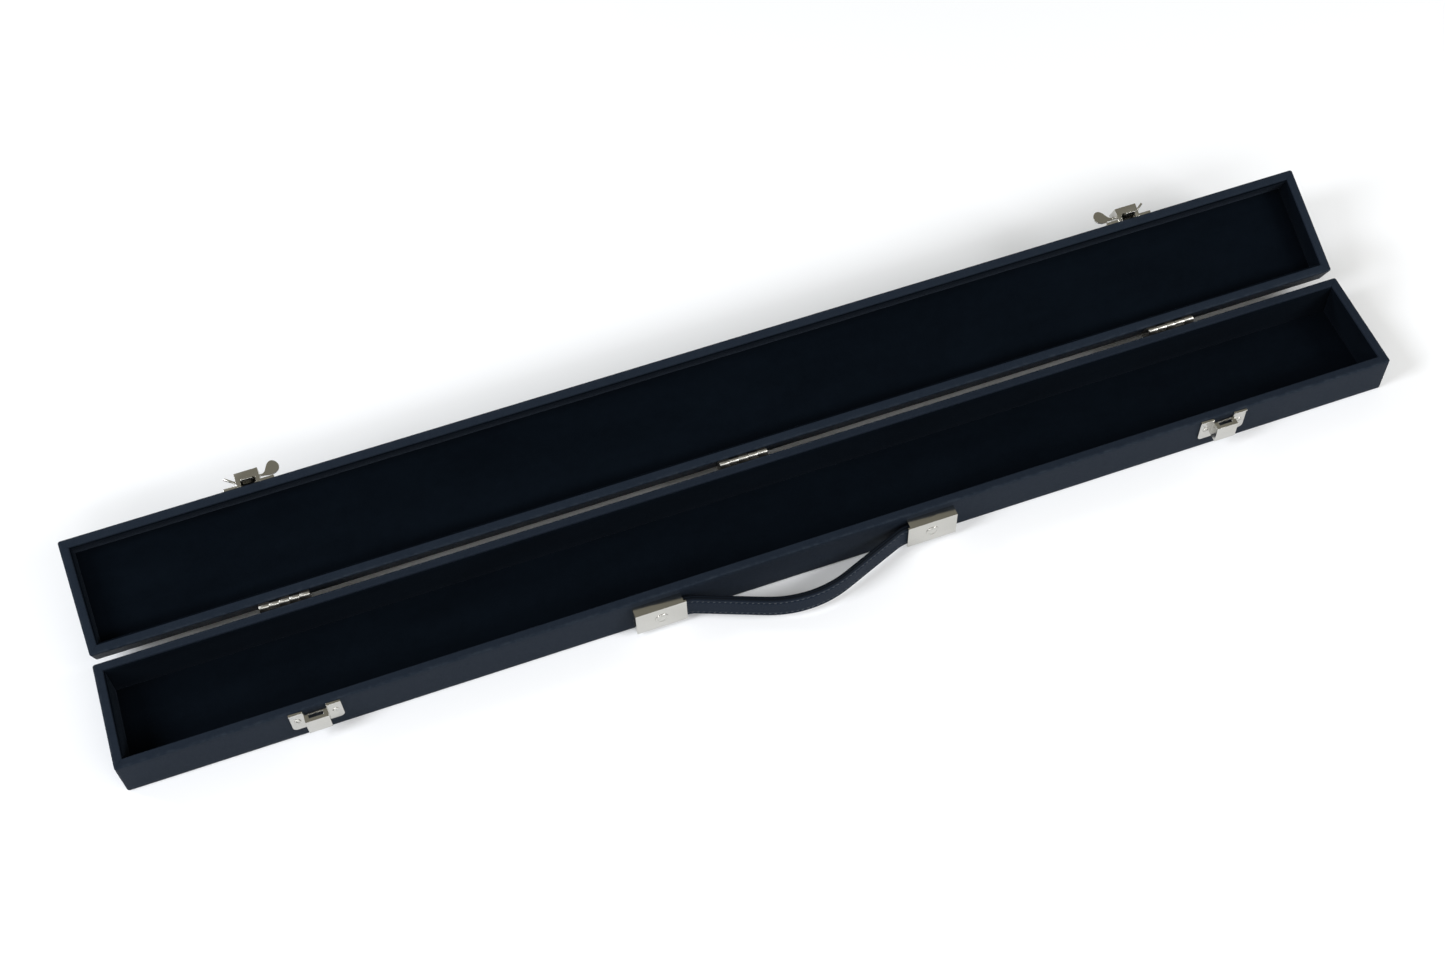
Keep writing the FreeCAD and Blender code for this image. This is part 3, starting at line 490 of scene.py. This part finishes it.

# ---- Nickel hinges ----------------------------------------------------------------------------
# Three small stop hinges of nickel-plated steel: rolled knuckles on a wire pin, and leaves on the
# outer faces of the back walls whose turned-out tails meet when the lid is right back. The knuckles
# stay bright; the leaves carry painted shade, near black and rougher, most of all in the neck.


def plate_finish(name, roughness):
    """Nickel plate, painted near black as shade and made rougher where its shade attribute says."""
    finish = Finish(name, Metallic=1.0)
    hairlines = finish.noise(0.16 * MM, 2.0, 0.5, stretch=(0.05, 1.0, 1.0))
    smears = finish.noise(22 * MM, 2.0, 0.5)
    specks = finish.spread(finish.noise(0.9 * MM, 5.0, 0.75), 0.62, 0.74)
    tarnish = finish.node("ShaderNodeAttribute", {"attribute_name": "tarnish"}, {}, "Fac")
    colour = finish.mix(smears, (0.52, 0.51, 0.475, 1), (0.57, 0.562, 0.53, 1))
    colour = finish.mix(specks * 0.22, colour, (0.40, 0.37, 0.30, 1))
    # Painted shade: where the shade attribute is set (the hinge leaves), the colour goes near black and the
    # roughness up.
    finish.feed("Base Color", finish.mix(tarnish, colour, (0.035, 0.033, 0.030, 1)))
    finish.feed("Roughness", roughness + smears * 0.05 + hairlines * 0.05 + specks * 0.08 + tarnish * 0.2)
    finish.bump(hairlines, 0.004 * MM, 0.5)
    return finish


nickel, barrel_nickel = plate_finish("nickel_plate", 0.15), plate_finish("barrel_nickel", 0.32)


def baked(piece):
    """Turns a piece's modifiers into its plain mesh."""
    graph = bpy.context.evaluated_depsgraph_get()
    graph.update()
    mesh = bpy.data.meshes.new_from_object(piece.evaluated_get(graph))
    piece.modifiers.clear()
    piece.data = mesh
    return piece


def copied(node):
    """A copy of a node's shape with its loose triangles joined into whole faces."""
    form = bmesh.new()
    form.from_mesh(frame["nodes"][node].data)
    bmesh.ops.remove_doubles(form, verts=form.verts[:], dist=1e-6)
    limit = math.radians(3)
    bmesh.ops.dissolve_limit(form, angle_limit=limit, verts=form.verts[:], edges=form.edges[:])
    return form


def plated(node, body, width, cutters=(), segments=2, finish=nickel):
    """Stands for a sheet-metal node with its edges broken, as pressing and plating leave them."""
    piece = from_bmesh(f"{node}_plated", copied(node), finish.material)
    scrap = []
    for low, high in cutters:
        block = rounded_block(low, high, 0.02 * MM, 1, (1, 1, 1))
        scrap.append(from_bmesh("cutter", block))
        cut = piece.modifiers.new("cut", "BOOLEAN")
        cut.object, cut.operation, cut.solver = scrap[-1], "DIFFERENCE", "EXACT"
    edges = piece.modifiers.new("edges", "BEVEL")
    edges.width, edges.segments, edges.limit_method = width, segments, "ANGLE"
    edges.angle_limit, edges.use_clamp_overlap, edges.harden_normals = math.radians(35), True, True
    baked(piece)
    for block in scrap:
        bpy.data.objects.remove(block)
    finish_piece(piece, body, "nickel", node)
    return piece


HINGES = ("left_hinge", "middle_hinge", "right_hinge")
BARREL, LEAF_NECK = 1.56 * MM, 4.2 * MM
# How strongly shade is painted on each leaf's neck next to the knuckle, and on its flat.
NECK_SHADE, LEAF_SHADE = 1.0, 0.8
LEAF_EDGE, PIN_EDGE = 0.13 * MM, 0.2 * MM
for hinge_name in HINGES:
    for piece in (
        plated(f"{hinge_name}_box_leaf", "box", LEAF_EDGE, finish=barrel_nickel),
        plated(f"{hinge_name}_lid_leaf", "lid", LEAF_EDGE, finish=barrel_nickel),
    ):
        # Painted shade on the leaves: full in the neck, a little less on the flat, none on the knuckle.
        shade_layer = piece.data.attributes.new("tarnish", "FLOAT", "CORNER")
        for face in piece.data.polygons:
            corners = [piece.data.vertices[index].co - HINGE_AT for index in face.vertices]
            far = max(math.hypot(corner.y, corner.z) for corner in corners)
            shade_depth = 0.0 if far < BARREL else (NECK_SHADE if far < LEAF_NECK else LEAF_SHADE)
            for loop in face.loop_indices:
                shade_layer.data[loop].value = shade_depth
    plated(f"{hinge_name}_pin", "box", PIN_EDGE, finish=barrel_nickel)

# ---- Screws and rivets ------------------------------------------------------------------------
# Small nickel-plated screws with low domed, slotted heads hold the hinges, the keepers and the
# latch plates. Each is driven by hand, so that the slots stop at different angles.


class Layout:
    """A Geometry Nodes tree with named inputs."""

    def __init__(self, name, **inputs):
        self.tree = bpy.data.node_groups.new(name, "GeometryNodeTree")
        kinds = {"Geometry": "NodeSocketGeometry", "finish": "NodeSocketMaterial"}
        self.names = {}
        for label in ("Geometry", *inputs, "finish"):
            kind = kinds.get(label, "NodeSocketFloat")
            socket = self.tree.interface.new_socket(label, in_out="INPUT", socket_type=kind)
            self.names[label] = socket.identifier
        self.tree.interface.new_socket("Geometry", in_out="OUTPUT", socket_type="NodeSocketGeometry")
        self.given = self.tree.nodes.new("NodeGroupInput")
        self.values = inputs

    def input(self, label):
        return self.given.outputs[label]

    def node(self, kind, settings, sockets, output=0):
        made = self.tree.nodes.new(kind)
        for setting, value in settings.items():
            setattr(made, setting, value)
        for socket, value in sockets.items():
            for one in value if isinstance(value, list) else [value]:
                if isinstance(one, bpy.types.NodeSocket):
                    self.tree.links.new(one, made.inputs[socket])
                else:
                    made.inputs[socket].default_value = one
        return made.outputs[output]

    def maths(self, operation, *values):
        return self.node("ShaderNodeMath", {"operation": operation}, dict(enumerate(values)))

    def vector(self, x, y, z):
        return self.node("ShaderNodeCombineXYZ", {}, {"X": x, "Y": y, "Z": z})

    def end(self, geometry):
        """Ends the tree: instances made real, then their material."""
        real = self.node("GeometryNodeRealizeInstances", {}, {"Geometry": geometry})
        sockets = {"Geometry": real, "Material": self.input("finish")}
        coated = self.node("GeometryNodeSetMaterial", {}, sockets)
        self.tree.links.new(coated, self.tree.nodes.new("NodeGroupOutput").inputs[0])

    def made(self, piece, material):
        """Runs the tree on a piece and leaves the result as its plain mesh."""
        run = piece.modifiers.new("layout", "NODES")
        run.node_group = self.tree
        for label, value in self.values.items():
            run[self.names[label]] = value
        run[self.names["finish"]] = material
        return baked(piece)


SLOT_CENTRE, CUTTER_WIDTH = 0.95, 3.0


def screw_layout(name, radius, height, slot_width, shank_radius, shank_length):
    """Domed heads with a slot on the points given, turned at random about their axes."""
    tree = Layout(
        name, radius=radius, height=height, slot_width=slot_width, shank_radius=shank_radius,
        shank_length=shank_length,
    )
    sockets = {"Segments": 32, "Rings": 18, "Radius": tree.input("radius")}
    ball = tree.node("GeometryNodeMeshUVSphere", {}, sockets)
    tall = tree.maths("DIVIDE", tree.input("height"), tree.input("radius"))
    dome = tree.node("GeometryNodeTransform", {}, {"Geometry": ball, "Scale": tree.vector(1.0, 1.0, tall)})
    wide = tree.maths("MULTIPLY", tree.input("radius"), CUTTER_WIDTH)
    below = tree.node("GeometryNodeMeshCube", {}, {"Size": tree.vector(wide, wide, wide)})
    sunk = tree.maths("MULTIPLY", wide, -0.5)
    below = tree.node(
        "GeometryNodeTransform", {}, {"Geometry": below, "Translation": tree.vector(0.0, 0.0, sunk)}
    )
    size = tree.vector(wide, tree.input("slot_width"), tree.input("height"))
    slot = tree.node("GeometryNodeMeshCube", {}, {"Size": size})
    above = tree.maths("MULTIPLY", tree.input("height"), SLOT_CENTRE)
    slot = tree.node(
        "GeometryNodeTransform", {}, {"Geometry": slot, "Translation": tree.vector(0.0, 0.0, above)}
    )
    cut = {"operation": "DIFFERENCE", "solver": "EXACT"}
    head = tree.node("GeometryNodeMeshBoolean", cut, {0: dome, 1: [below, slot]})
    sockets = {"Vertices": 16, "Radius": tree.input("shank_radius"), "Depth": tree.input("shank_length")}
    shank = tree.node("GeometryNodeMeshCylinder", {}, sockets)
    down = tree.maths("MULTIPLY", tree.input("shank_length"), -0.5)
    shank = tree.node(
        "GeometryNodeTransform", {}, {"Geometry": shank, "Translation": tree.vector(0.0, 0.0, down)}
    )
    screw = tree.node("GeometryNodeJoinGeometry", {}, {0: [head, shank]})
    outward = tree.node(
        "GeometryNodeInputNamedAttribute", {"data_type": "FLOAT_VECTOR"}, {"Name": "outward"}
    )
    facing = tree.node("FunctionNodeAlignRotationToVector", {"axis": "Z"}, {"Vector": outward})
    angle = tree.node(
        "FunctionNodeRandomValue", {"data_type": "FLOAT"}, {2: 0.0, 3: math.pi, "Seed": 7}, 1
    )
    twist = tree.node("FunctionNodeAxisAngleToRotation", {}, {"Axis": (0.0, 0.0, 1.0), "Angle": angle})
    turned = tree.node(
        "FunctionNodeRotateRotation", {"rotation_space": "LOCAL"}, {"Rotation": facing, "Rotate By": twist}
    )
    sockets = {"Points": tree.input("Geometry"), "Instance": screw, "Rotation": turned}
    tree.end(tree.node("GeometryNodeInstanceOnPoints", {}, sockets))
    return tree


def driven(name, layout, places, outward, body, node):
    """Puts one fastener at each place, facing outward, as one mesh."""
    mesh = bpy.data.meshes.new(name)
    mesh.from_pydata([tuple(place) for place in places], [], [])
    facing = mesh.attributes.new("outward", "FLOAT_VECTOR", "POINT")
    for item in facing.data:
        item.vector = outward
    piece = layout.made(new_object(name, mesh), nickel.material)
    bpy.context.view_layer.update()
    finish_piece(piece, body, "nickel", node)


SCREW_RADIUS, SCREW_HEIGHT, SCREW_SHANK, SCREW_SLOT = 2.1 * MM, 0.7 * MM, 1.1 * MM, 0.45 * MM
RIVET_PITCH, RIVET_DROP, EAR_PITCH = 18.0 * MM, 7.4 * MM, 23.5 * MM
LEAF, SCREW_LENGTH = 1.0 * MM, WALL - 0.3 * MM
screws = screw_layout("screws", SCREW_RADIUS, SCREW_HEIGHT, SCREW_SLOT, SCREW_SHANK, SCREW_LENGTH)


def spots(nodes, pitch, y, z):
    """Two places for each node, pitch apart about its middle."""
    middles = [(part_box(node)[0].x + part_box(node)[1].x) / 2 for node in nodes]
    return [Vector((middle + end * pitch / 2, y, z)) for middle in middles for end in (-1, 1)]


box_leaves = [f"{name}_box_leaf" for name in HINGES]
back = HALF_WIDTH + LEAF
low_row = spots(box_leaves, RIVET_PITCH, back, HINGE_AT.z - RIVET_DROP)
high_row = [OPENED @ spot for spot in spots(box_leaves, RIVET_PITCH, back, HINGE_AT.z + RIVET_DROP)]
lid_turn = OPENED.to_3x3()
driven("hinge_screws_in_box", screws, low_row, (0, 1, 0), "box", "box_hinge_rivets")
driven("hinge_screws_in_lid", screws, high_row, lid_turn @ Vector((0, 1, 0)), "lid", "lid_hinge_rivets")

# ---- Keepers and latches ----------------------------------------------------------------------
# Pressed nickel-plated steel. A keeper screwed to the box has a bridge with a slot behind its
# catch bar. The lid carries a hood with a sprung lever in it: a rounded thumb piece on the inner
# side, a bent tail on the outer, and a tongue that hooks under the keeper's bar.
PRESSED_EDGE, WIRE_EDGE = 0.2 * MM, 0.12 * MM
PADDLE_RIM, PADDLE_FULL = 0.3 * MM, 1.12
for side in ("left", "right"):
    plated(f"{side}_keeper", "box", PRESSED_EDGE, segments=3)
    plated(f"{side}_latch_plate", "lid", PRESSED_EDGE, segments=3)
    lever = f"{side}_latch_lever"
    form = copied(f"{side}_latch_paddle")
    form.normal_update()
    faces = sorted(form.faces, key=lambda face: -face.calc_area())[:2]
    bmesh.ops.inset_individual(form, faces=faces, thickness=PADDLE_RIM)
    root = sum((vertex.co for vertex in form.verts), Vector()) / len(form.verts)
    root.x = (min if side == "left" else max)(vertex.co.x for vertex in form.verts)
    bmesh.ops.scale(form, verts=form.verts[:], vec=[PADDLE_FULL] * 3, space=Matrix.Translation(-root))
    paddle = from_bmesh(f"{side}_latch_paddle_plated", form, nickel.material)
    softened = paddle.modifiers.new("softened", "SUBSURF")
    softened.levels = softened.render_levels = 3
    finish_piece(baked(paddle), lever, "nickel", f"{side}_latch_paddle")
    plated(f"{side}_latch_shaft", lever, WIRE_EDGE)
    plated(f"{side}_latch_tongue", lever, WIRE_EDGE)

PLATE = 1.0 * MM
front = -HALF_WIDTH - PLATE
KEEPER_SCREW_DROP, LATCH_SCREW_RISE = 10.55 * MM, 7.1 * MM
keepers = ["left_keeper", "right_keeper"]
keeper_row = spots(keepers, EAR_PITCH, front, BOX_RIM - KEEPER_SCREW_DROP)
plate_row = [OPENED @ spot for spot in spots(keepers, EAR_PITCH, front, LID_RIM + LATCH_SCREW_RISE)]
driven("keeper_screws", screws, keeper_row, (0, -1, 0), "box", "keeper_rivets")
driven("latch_plate_screws", screws, plate_row, lid_turn @ Vector((0, -1, 0)), "lid", "latch_plate_rivets")

spring_steel = Finish("spring_steel", Metallic=1.0)
oil = spring_steel.noise(5 * MM, 3.0)
drawn = spring_steel.noise(0.1 * MM, 2.0, stretch=(0.04, 1.0, 1.0))
spring_steel.feed("Base Color", spring_steel.mix(oil, (0.20, 0.19, 0.18, 1), (0.34, 0.33, 0.31, 1)))
spring_steel.feed("Roughness", 0.30 + oil * 0.14 + drawn * 0.08)
spring_steel.bump(drawn, 0.004 * MM)
for name in ("left_latch_spring", "right_latch_spring"):
    coat(name, spring_steel)

# ---- Handle strap -----------------------------------------------------------------------------
# Two plies of black leather over a spring-steel strip, glued and lockstitched along both edges,
# with their cut edges burnished and painted black. It stands away from the wall in a low bow.
CAP_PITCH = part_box("right_handle_cap")[0].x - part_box("left_handle_cap")[0].x
CAP_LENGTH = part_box("left_handle_cap")[1].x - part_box("left_handle_cap")[0].x
strap_low, strap_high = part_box("handle_outer_ply")
STRAP_OUT, STRIP_HALF, PLY_GAP = 3.9 * MM, 6.2 * MM, 0.03 * MM
HANDLE_AT = (strap_low + strap_high) / 2
HANDLE_AT.y = -HALF_WIDTH - STRAP_OUT
STRAP_TALL, PLY, CORE = strap_high.z - strap_low.z, 1.6 * MM, 0.8 * MM
BOW, CREST, BEND, BEND_INSET = 23.0 * MM, 72.0 * MM, 25.0 * MM, 2.0 * MM
HALF_SPAN = CAP_PITCH / 2 - CAP_LENGTH / 2 + BEND_INSET
STRAP_END = (strap_high.x - strap_low.x) / 2
centres_apart = math.hypot(HALF_SPAN, CREST + BEND - BOW)
SLOPE = math.atan2(HALF_SPAN, CREST + BEND - BOW) - math.acos((CREST + BEND) / centres_apart)
CREST_END = Vector((CREST * math.sin(SLOPE), BOW - CREST + CREST * math.cos(SLOPE)))
BEND_START = Vector((HALF_SPAN - BEND * math.sin(SLOPE), BEND - BEND * math.cos(SLOPE)))
CREST_RUN, BEND_RUN, STRAIGHT_RUN = CREST * SLOPE, BEND * SLOPE, (BEND_START - CREST_END).length
HALF_RUN = (CREST + BEND) * SLOPE + STRAIGHT_RUN + STRAP_END - HALF_SPAN


def bow_point(along):
    """Place and outward direction in plan of the strap's middle, along from its crest."""
    side, run = (1 if along >= 0 else -1), abs(along)
    if run <= CREST_RUN:
        angle = run / CREST
        x, out = CREST * math.sin(angle), BOW - CREST + CREST * math.cos(angle)
    elif run <= CREST_RUN + STRAIGHT_RUN:
        angle = SLOPE
        x, out = CREST_END.lerp(BEND_START, (run - CREST_RUN) / STRAIGHT_RUN)
    elif run <= CREST_RUN + STRAIGHT_RUN + BEND_RUN:
        angle = SLOPE - (run - CREST_RUN - STRAIGHT_RUN) / BEND
        x, out = HALF_SPAN - BEND * math.sin(angle), BEND - BEND * math.cos(angle)
    else:
        angle = 0.0
        x, out = HALF_SPAN + run - CREST_RUN - STRAIGHT_RUN - BEND_RUN, 0.0
    place = Vector((HANDLE_AT.x + side * x, HANDLE_AT.y - out, HANDLE_AT.z))
    return place, Vector((side * math.sin(angle), -math.cos(angle), 0))


leather = Finish("strap_leather", Specular_IOR_Level=0.05, Specular_Tint=(0.6, 0.82, 1.0, 1))
grain = leather.spread(leather.cells(0.55 * MM), 0.0, 0.25)
creases = leather.noise(3.5 * MM, 5.0, 0.6, stretch=(0.45, 1.0, 1.0))
handled = leather.noise(28 * MM, 2.0)
painted = leather.node("ShaderNodeAttribute", {"attribute_name": "edge"}, {}, "Fac")
hide = leather.mix(handled, (0.0064, 0.0108, 0.0200, 1), (0.0092, 0.0148, 0.0265, 1))
hide = leather.mix((1 - grain) * 0.5, hide, (0.005, 0.0080, 0.0135, 1))
leather.feed("Base Color", leather.mix(painted, hide, (0.004, 0.0045, 0.006, 1)))
leather.feed("Roughness", 0.40 + handled * 0.10 + creases * 0.10 - painted * 0.08)
leather.bump((grain * 0.6 + creases * 0.4) * (1 - painted * 0.8), 0.07 * MM, 0.6)

STITCH_IN, STITCH_SINK, GROOVE_HALF = 3.0 * MM, 0.28 * MM, 0.55 * MM
BURNISHED, EDGE_SHARE, CROWN = 1.5 * MM, 0.52, 0.16 * MM
PLY_ROWS, PLY_STEPS = 36, 150
SWELL, SWELL_LUMP = 0.02, 14 * MM


def ply_outline():
    """Half thickness of the strap over its height, from its foot to its top edge."""
    half = STRAP_TALL / 2
    face = PLY + CORE / 2
    rows = []
    for step in range(PLY_ROWS + 1):
        height = -half + STRAP_TALL * step / PLY_ROWS
        inset = half - abs(height)
        rounding = min(1.0, inset / BURNISHED)
        thick = face * (EDGE_SHARE + (1 - EDGE_SHARE) * math.sqrt(1 - (1 - rounding) ** 2))
        groove = math.exp(-(((inset - STITCH_IN) / GROOVE_HALF) ** 2))
        crown = CROWN * (1 - (height / half) ** 2)
        rows.append((height, thick - CROWN + crown - STITCH_SINK * groove, 1 - rounding))
    return rows


def ply(name, facing, node):
    """One ply: its good side outward, its flesh side against the steel strip."""
    form = bmesh.new()
    edge = form.verts.layers.float.new("edge")
    rows = ply_outline()
    inner = [(height, CORE / 2 if abs(height) < STRIP_HALF else PLY_GAP) for height, _, _ in rows]
    outline = rows + [(height, flesh, 0.6) for height, flesh in reversed(inner)]
    rings = []
    for step in range(PLY_STEPS + 1):
        along = -HALF_RUN + 2 * HALF_RUN * step / PLY_STEPS
        place, out = bow_point(along)
        swell = 1 + SWELL * noise.noise(Vector((along / SWELL_LUMP, facing, 0)))
        ring = []
        for height, thick, paint in outline:
            point = place + out * facing * thick * swell
            point.z += height
            vertex = form.verts.new(point)
            vertex[edge] = paint
            ring.append(vertex)
        rings.append(ring)
    count = len(outline)
    for first, second in zip(rings, rings[1:]):
        for index in range(count):
            following = (index + 1) % count
            form.faces.new((first[index], first[following], second[following], second[index]))
    form.faces.new(rings[0])
    form.faces.new(rings[-1])
    bmesh.ops.recalc_face_normals(form, faces=form.faces[:])
    piece = from_bmesh(name, form, leather.material)
    finish_piece(piece, "box", "strap_leather", node)


ply("handle_outer_leather", 1, "handle_outer_ply")
ply("handle_inner_leather", -1, "handle_inner_ply")
coat("handle_core_strip", spring_steel)

thread = Finish("bonded_thread", Sheen_Weight=0.2, Sheen_Roughness=0.4, Specular_IOR_Level=0.4)
twisted = thread.noise(0.12 * MM, 2.0, stretch=(0.4, 1.0, 1.6))
thread.feed("Base Color", thread.mix(twisted, (0.030, 0.037, 0.045, 1), (0.070, 0.082, 0.095, 1)))
thread.feed("Roughness", 0.48 + twisted * 0.2)
thread.bump(twisted, 0.05 * MM)

STITCH_PITCH, STITCH_LENGTH, THREAD = 3.4 * MM, 2.2 * MM, 0.42 * MM
THREAD_OUT, ROW_SPACE, INSIDE_CAP, SEAM_STEPS = 0.25, 0.3 * MM, 0.75, 240
stitches = Layout("stitches", pitch=STITCH_PITCH, length=STITCH_LENGTH, thickness=THREAD)
line = stitches.node("GeometryNodeMeshToCurve", {}, {"Mesh": stitches.input("Geometry")})
sockets = {"Curve": line, "Length": stitches.input("pitch")}
spaced = stitches.node("GeometryNodeResampleCurve", {"mode": "LENGTH"}, sockets)
tangent = stitches.node("GeometryNodeInputTangent", {}, {})
lying = stitches.node("FunctionNodeAlignRotationToVector", {"axis": "X"}, {"Vector": tangent})
bead = stitches.node("GeometryNodeMeshUVSphere", {}, {"Segments": 8, "Rings": 6, "Radius": 0.5})
long = stitches.vector(stitches.input("length"), stitches.input("thickness"), stitches.input("thickness"))
bead = stitches.node("GeometryNodeTransform", {}, {"Geometry": bead, "Scale": long})
points = stitches.node("GeometryNodeCurveToPoints", {"mode": "EVALUATED"}, {"Curve": spaced})
sewn = stitches.node(
    "GeometryNodeInstanceOnPoints", {}, {"Points": points, "Instance": bead, "Rotation": lying}
)
stitches.end(sewn)


def stitching(name, facing):
    """Both rows of stitches on one side of the strap."""
    from_foot = [(STRAP_TALL / 2 + height, thick) for height, thick, _ in ply_outline()]
    depth = next(thick for height, thick in from_foot if abs(height - STITCH_IN) < ROW_SPACE)
    places, links = [], []
    sewn_run = HALF_RUN - CAP_LENGTH * INSIDE_CAP
    for height in (STRAP_TALL / 2 - STITCH_IN, STITCH_IN - STRAP_TALL / 2):
        first = len(places)
        for step in range(SEAM_STEPS + 1):
            place, out = bow_point(-sewn_run + 2 * sewn_run * step / SEAM_STEPS)
            places.append(place + out * facing * (depth + THREAD * THREAD_OUT) + Vector((0, 0, height)))
        links += [(index, index + 1) for index in range(first, len(places) - 1)]
    mesh = bpy.data.meshes.new(name)
    mesh.from_pydata([tuple(place) for place in places], links, [])
    piece = stitches.made(new_object(name, mesh), thread.material)
    finish_piece(piece, "box", "strap_leather")


stitching("handle_outer_stitching", 1)
stitching("handle_inner_stitching", -1)

# ---- Handle caps ------------------------------------------------------------------------------
# Folded nickel-plated steel caps over the strap's ends, whose flanges stop short of the mouth. One
# rivet, its wide flat head turned with a ring groove, goes through cap, strap, wall and a backing
# plate inside.
FLANGE_RELIEF, FLANGE_CUT, FLANGE_CLEAR = 1.5 * MM, 1.4 * MM, 0.3 * MM
CAP_SHEET, CAP_EDGE = 0.9 * MM, 0.25 * MM
for side, mouth in (("left", 1), ("right", -1)):
    cap_low, cap_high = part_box(f"{side}_handle_cap")
    edge = cap_high.x if mouth > 0 else cap_low.x
    span = sorted((edge - mouth * FLANGE_RELIEF, edge + mouth * MM))
    inside = cap_low.y + CAP_SHEET + FLANGE_CLEAR
    foot, head = (cap_low.z - MM, cap_low.z + FLANGE_CUT), (cap_high.z - FLANGE_CUT, cap_high.z + MM)
    cutters = []
    for low_z, high_z in (foot, head):
        cutters.append(((span[0], inside, low_z), (span[1], cap_high.y + MM, high_z)))
    plated(f"{side}_handle_cap", "box", CAP_EDGE, cutters, segments=3)
    coat(f"{side}_handle_backing_plate", spring_steel)

HEAD_TURNS = 48
HEAD_LINE = (  # (radius, height) from the middle of a head to its shank
    (0.0, 0.50), (1.3, 0.49), (2.3, 0.44), (2.65, 0.36), (2.85, 0.12), (3.25, 0.10), (3.45, 0.32),
    (3.6, 0.42), (3.9, 0.43), (4.15, 0.36), (4.3, 0.18), (4.3, -0.1), (1.5, -0.1),
)
cap_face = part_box("left_handle_cap")[0].y
shank_end = (cap_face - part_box("handle_cap_rivets")[1].y) / MM
turns = [math.tau * step / HEAD_TURNS for step in range(HEAD_TURNS)]
form = bmesh.new()
for side in (-1, 1):
    middle = Vector((HANDLE_AT.x + side * CAP_PITCH / 2, cap_face, HANDLE_AT.z))
    rings = []
    for radius, height in (*HEAD_LINE, (HEAD_LINE[-1][0], shank_end), (0.0, shank_end)):
        ring = []
        for angle in turns if radius else [0.0]:
            off = Vector((radius * math.cos(angle), -height, radius * math.sin(angle)))
            ring.append(form.verts.new(middle + off * MM))
        rings.append(ring)
    for first, second in zip(rings, rings[1:]):
        for step in range(HEAD_TURNS):
            corners = (first[step % len(first)], first[(step + 1) % len(first)])
            corners += (second[(step + 1) % len(second)], second[step % len(second)])
            form.faces.new(dict.fromkeys(corners))
bmesh.ops.recalc_face_normals(form, faces=form.faces[:])
rivets = from_bmesh("handle_cap_rivets_plated", form, nickel.material)
finish_piece(rivets, "box", "nickel", "handle_cap_rivets")
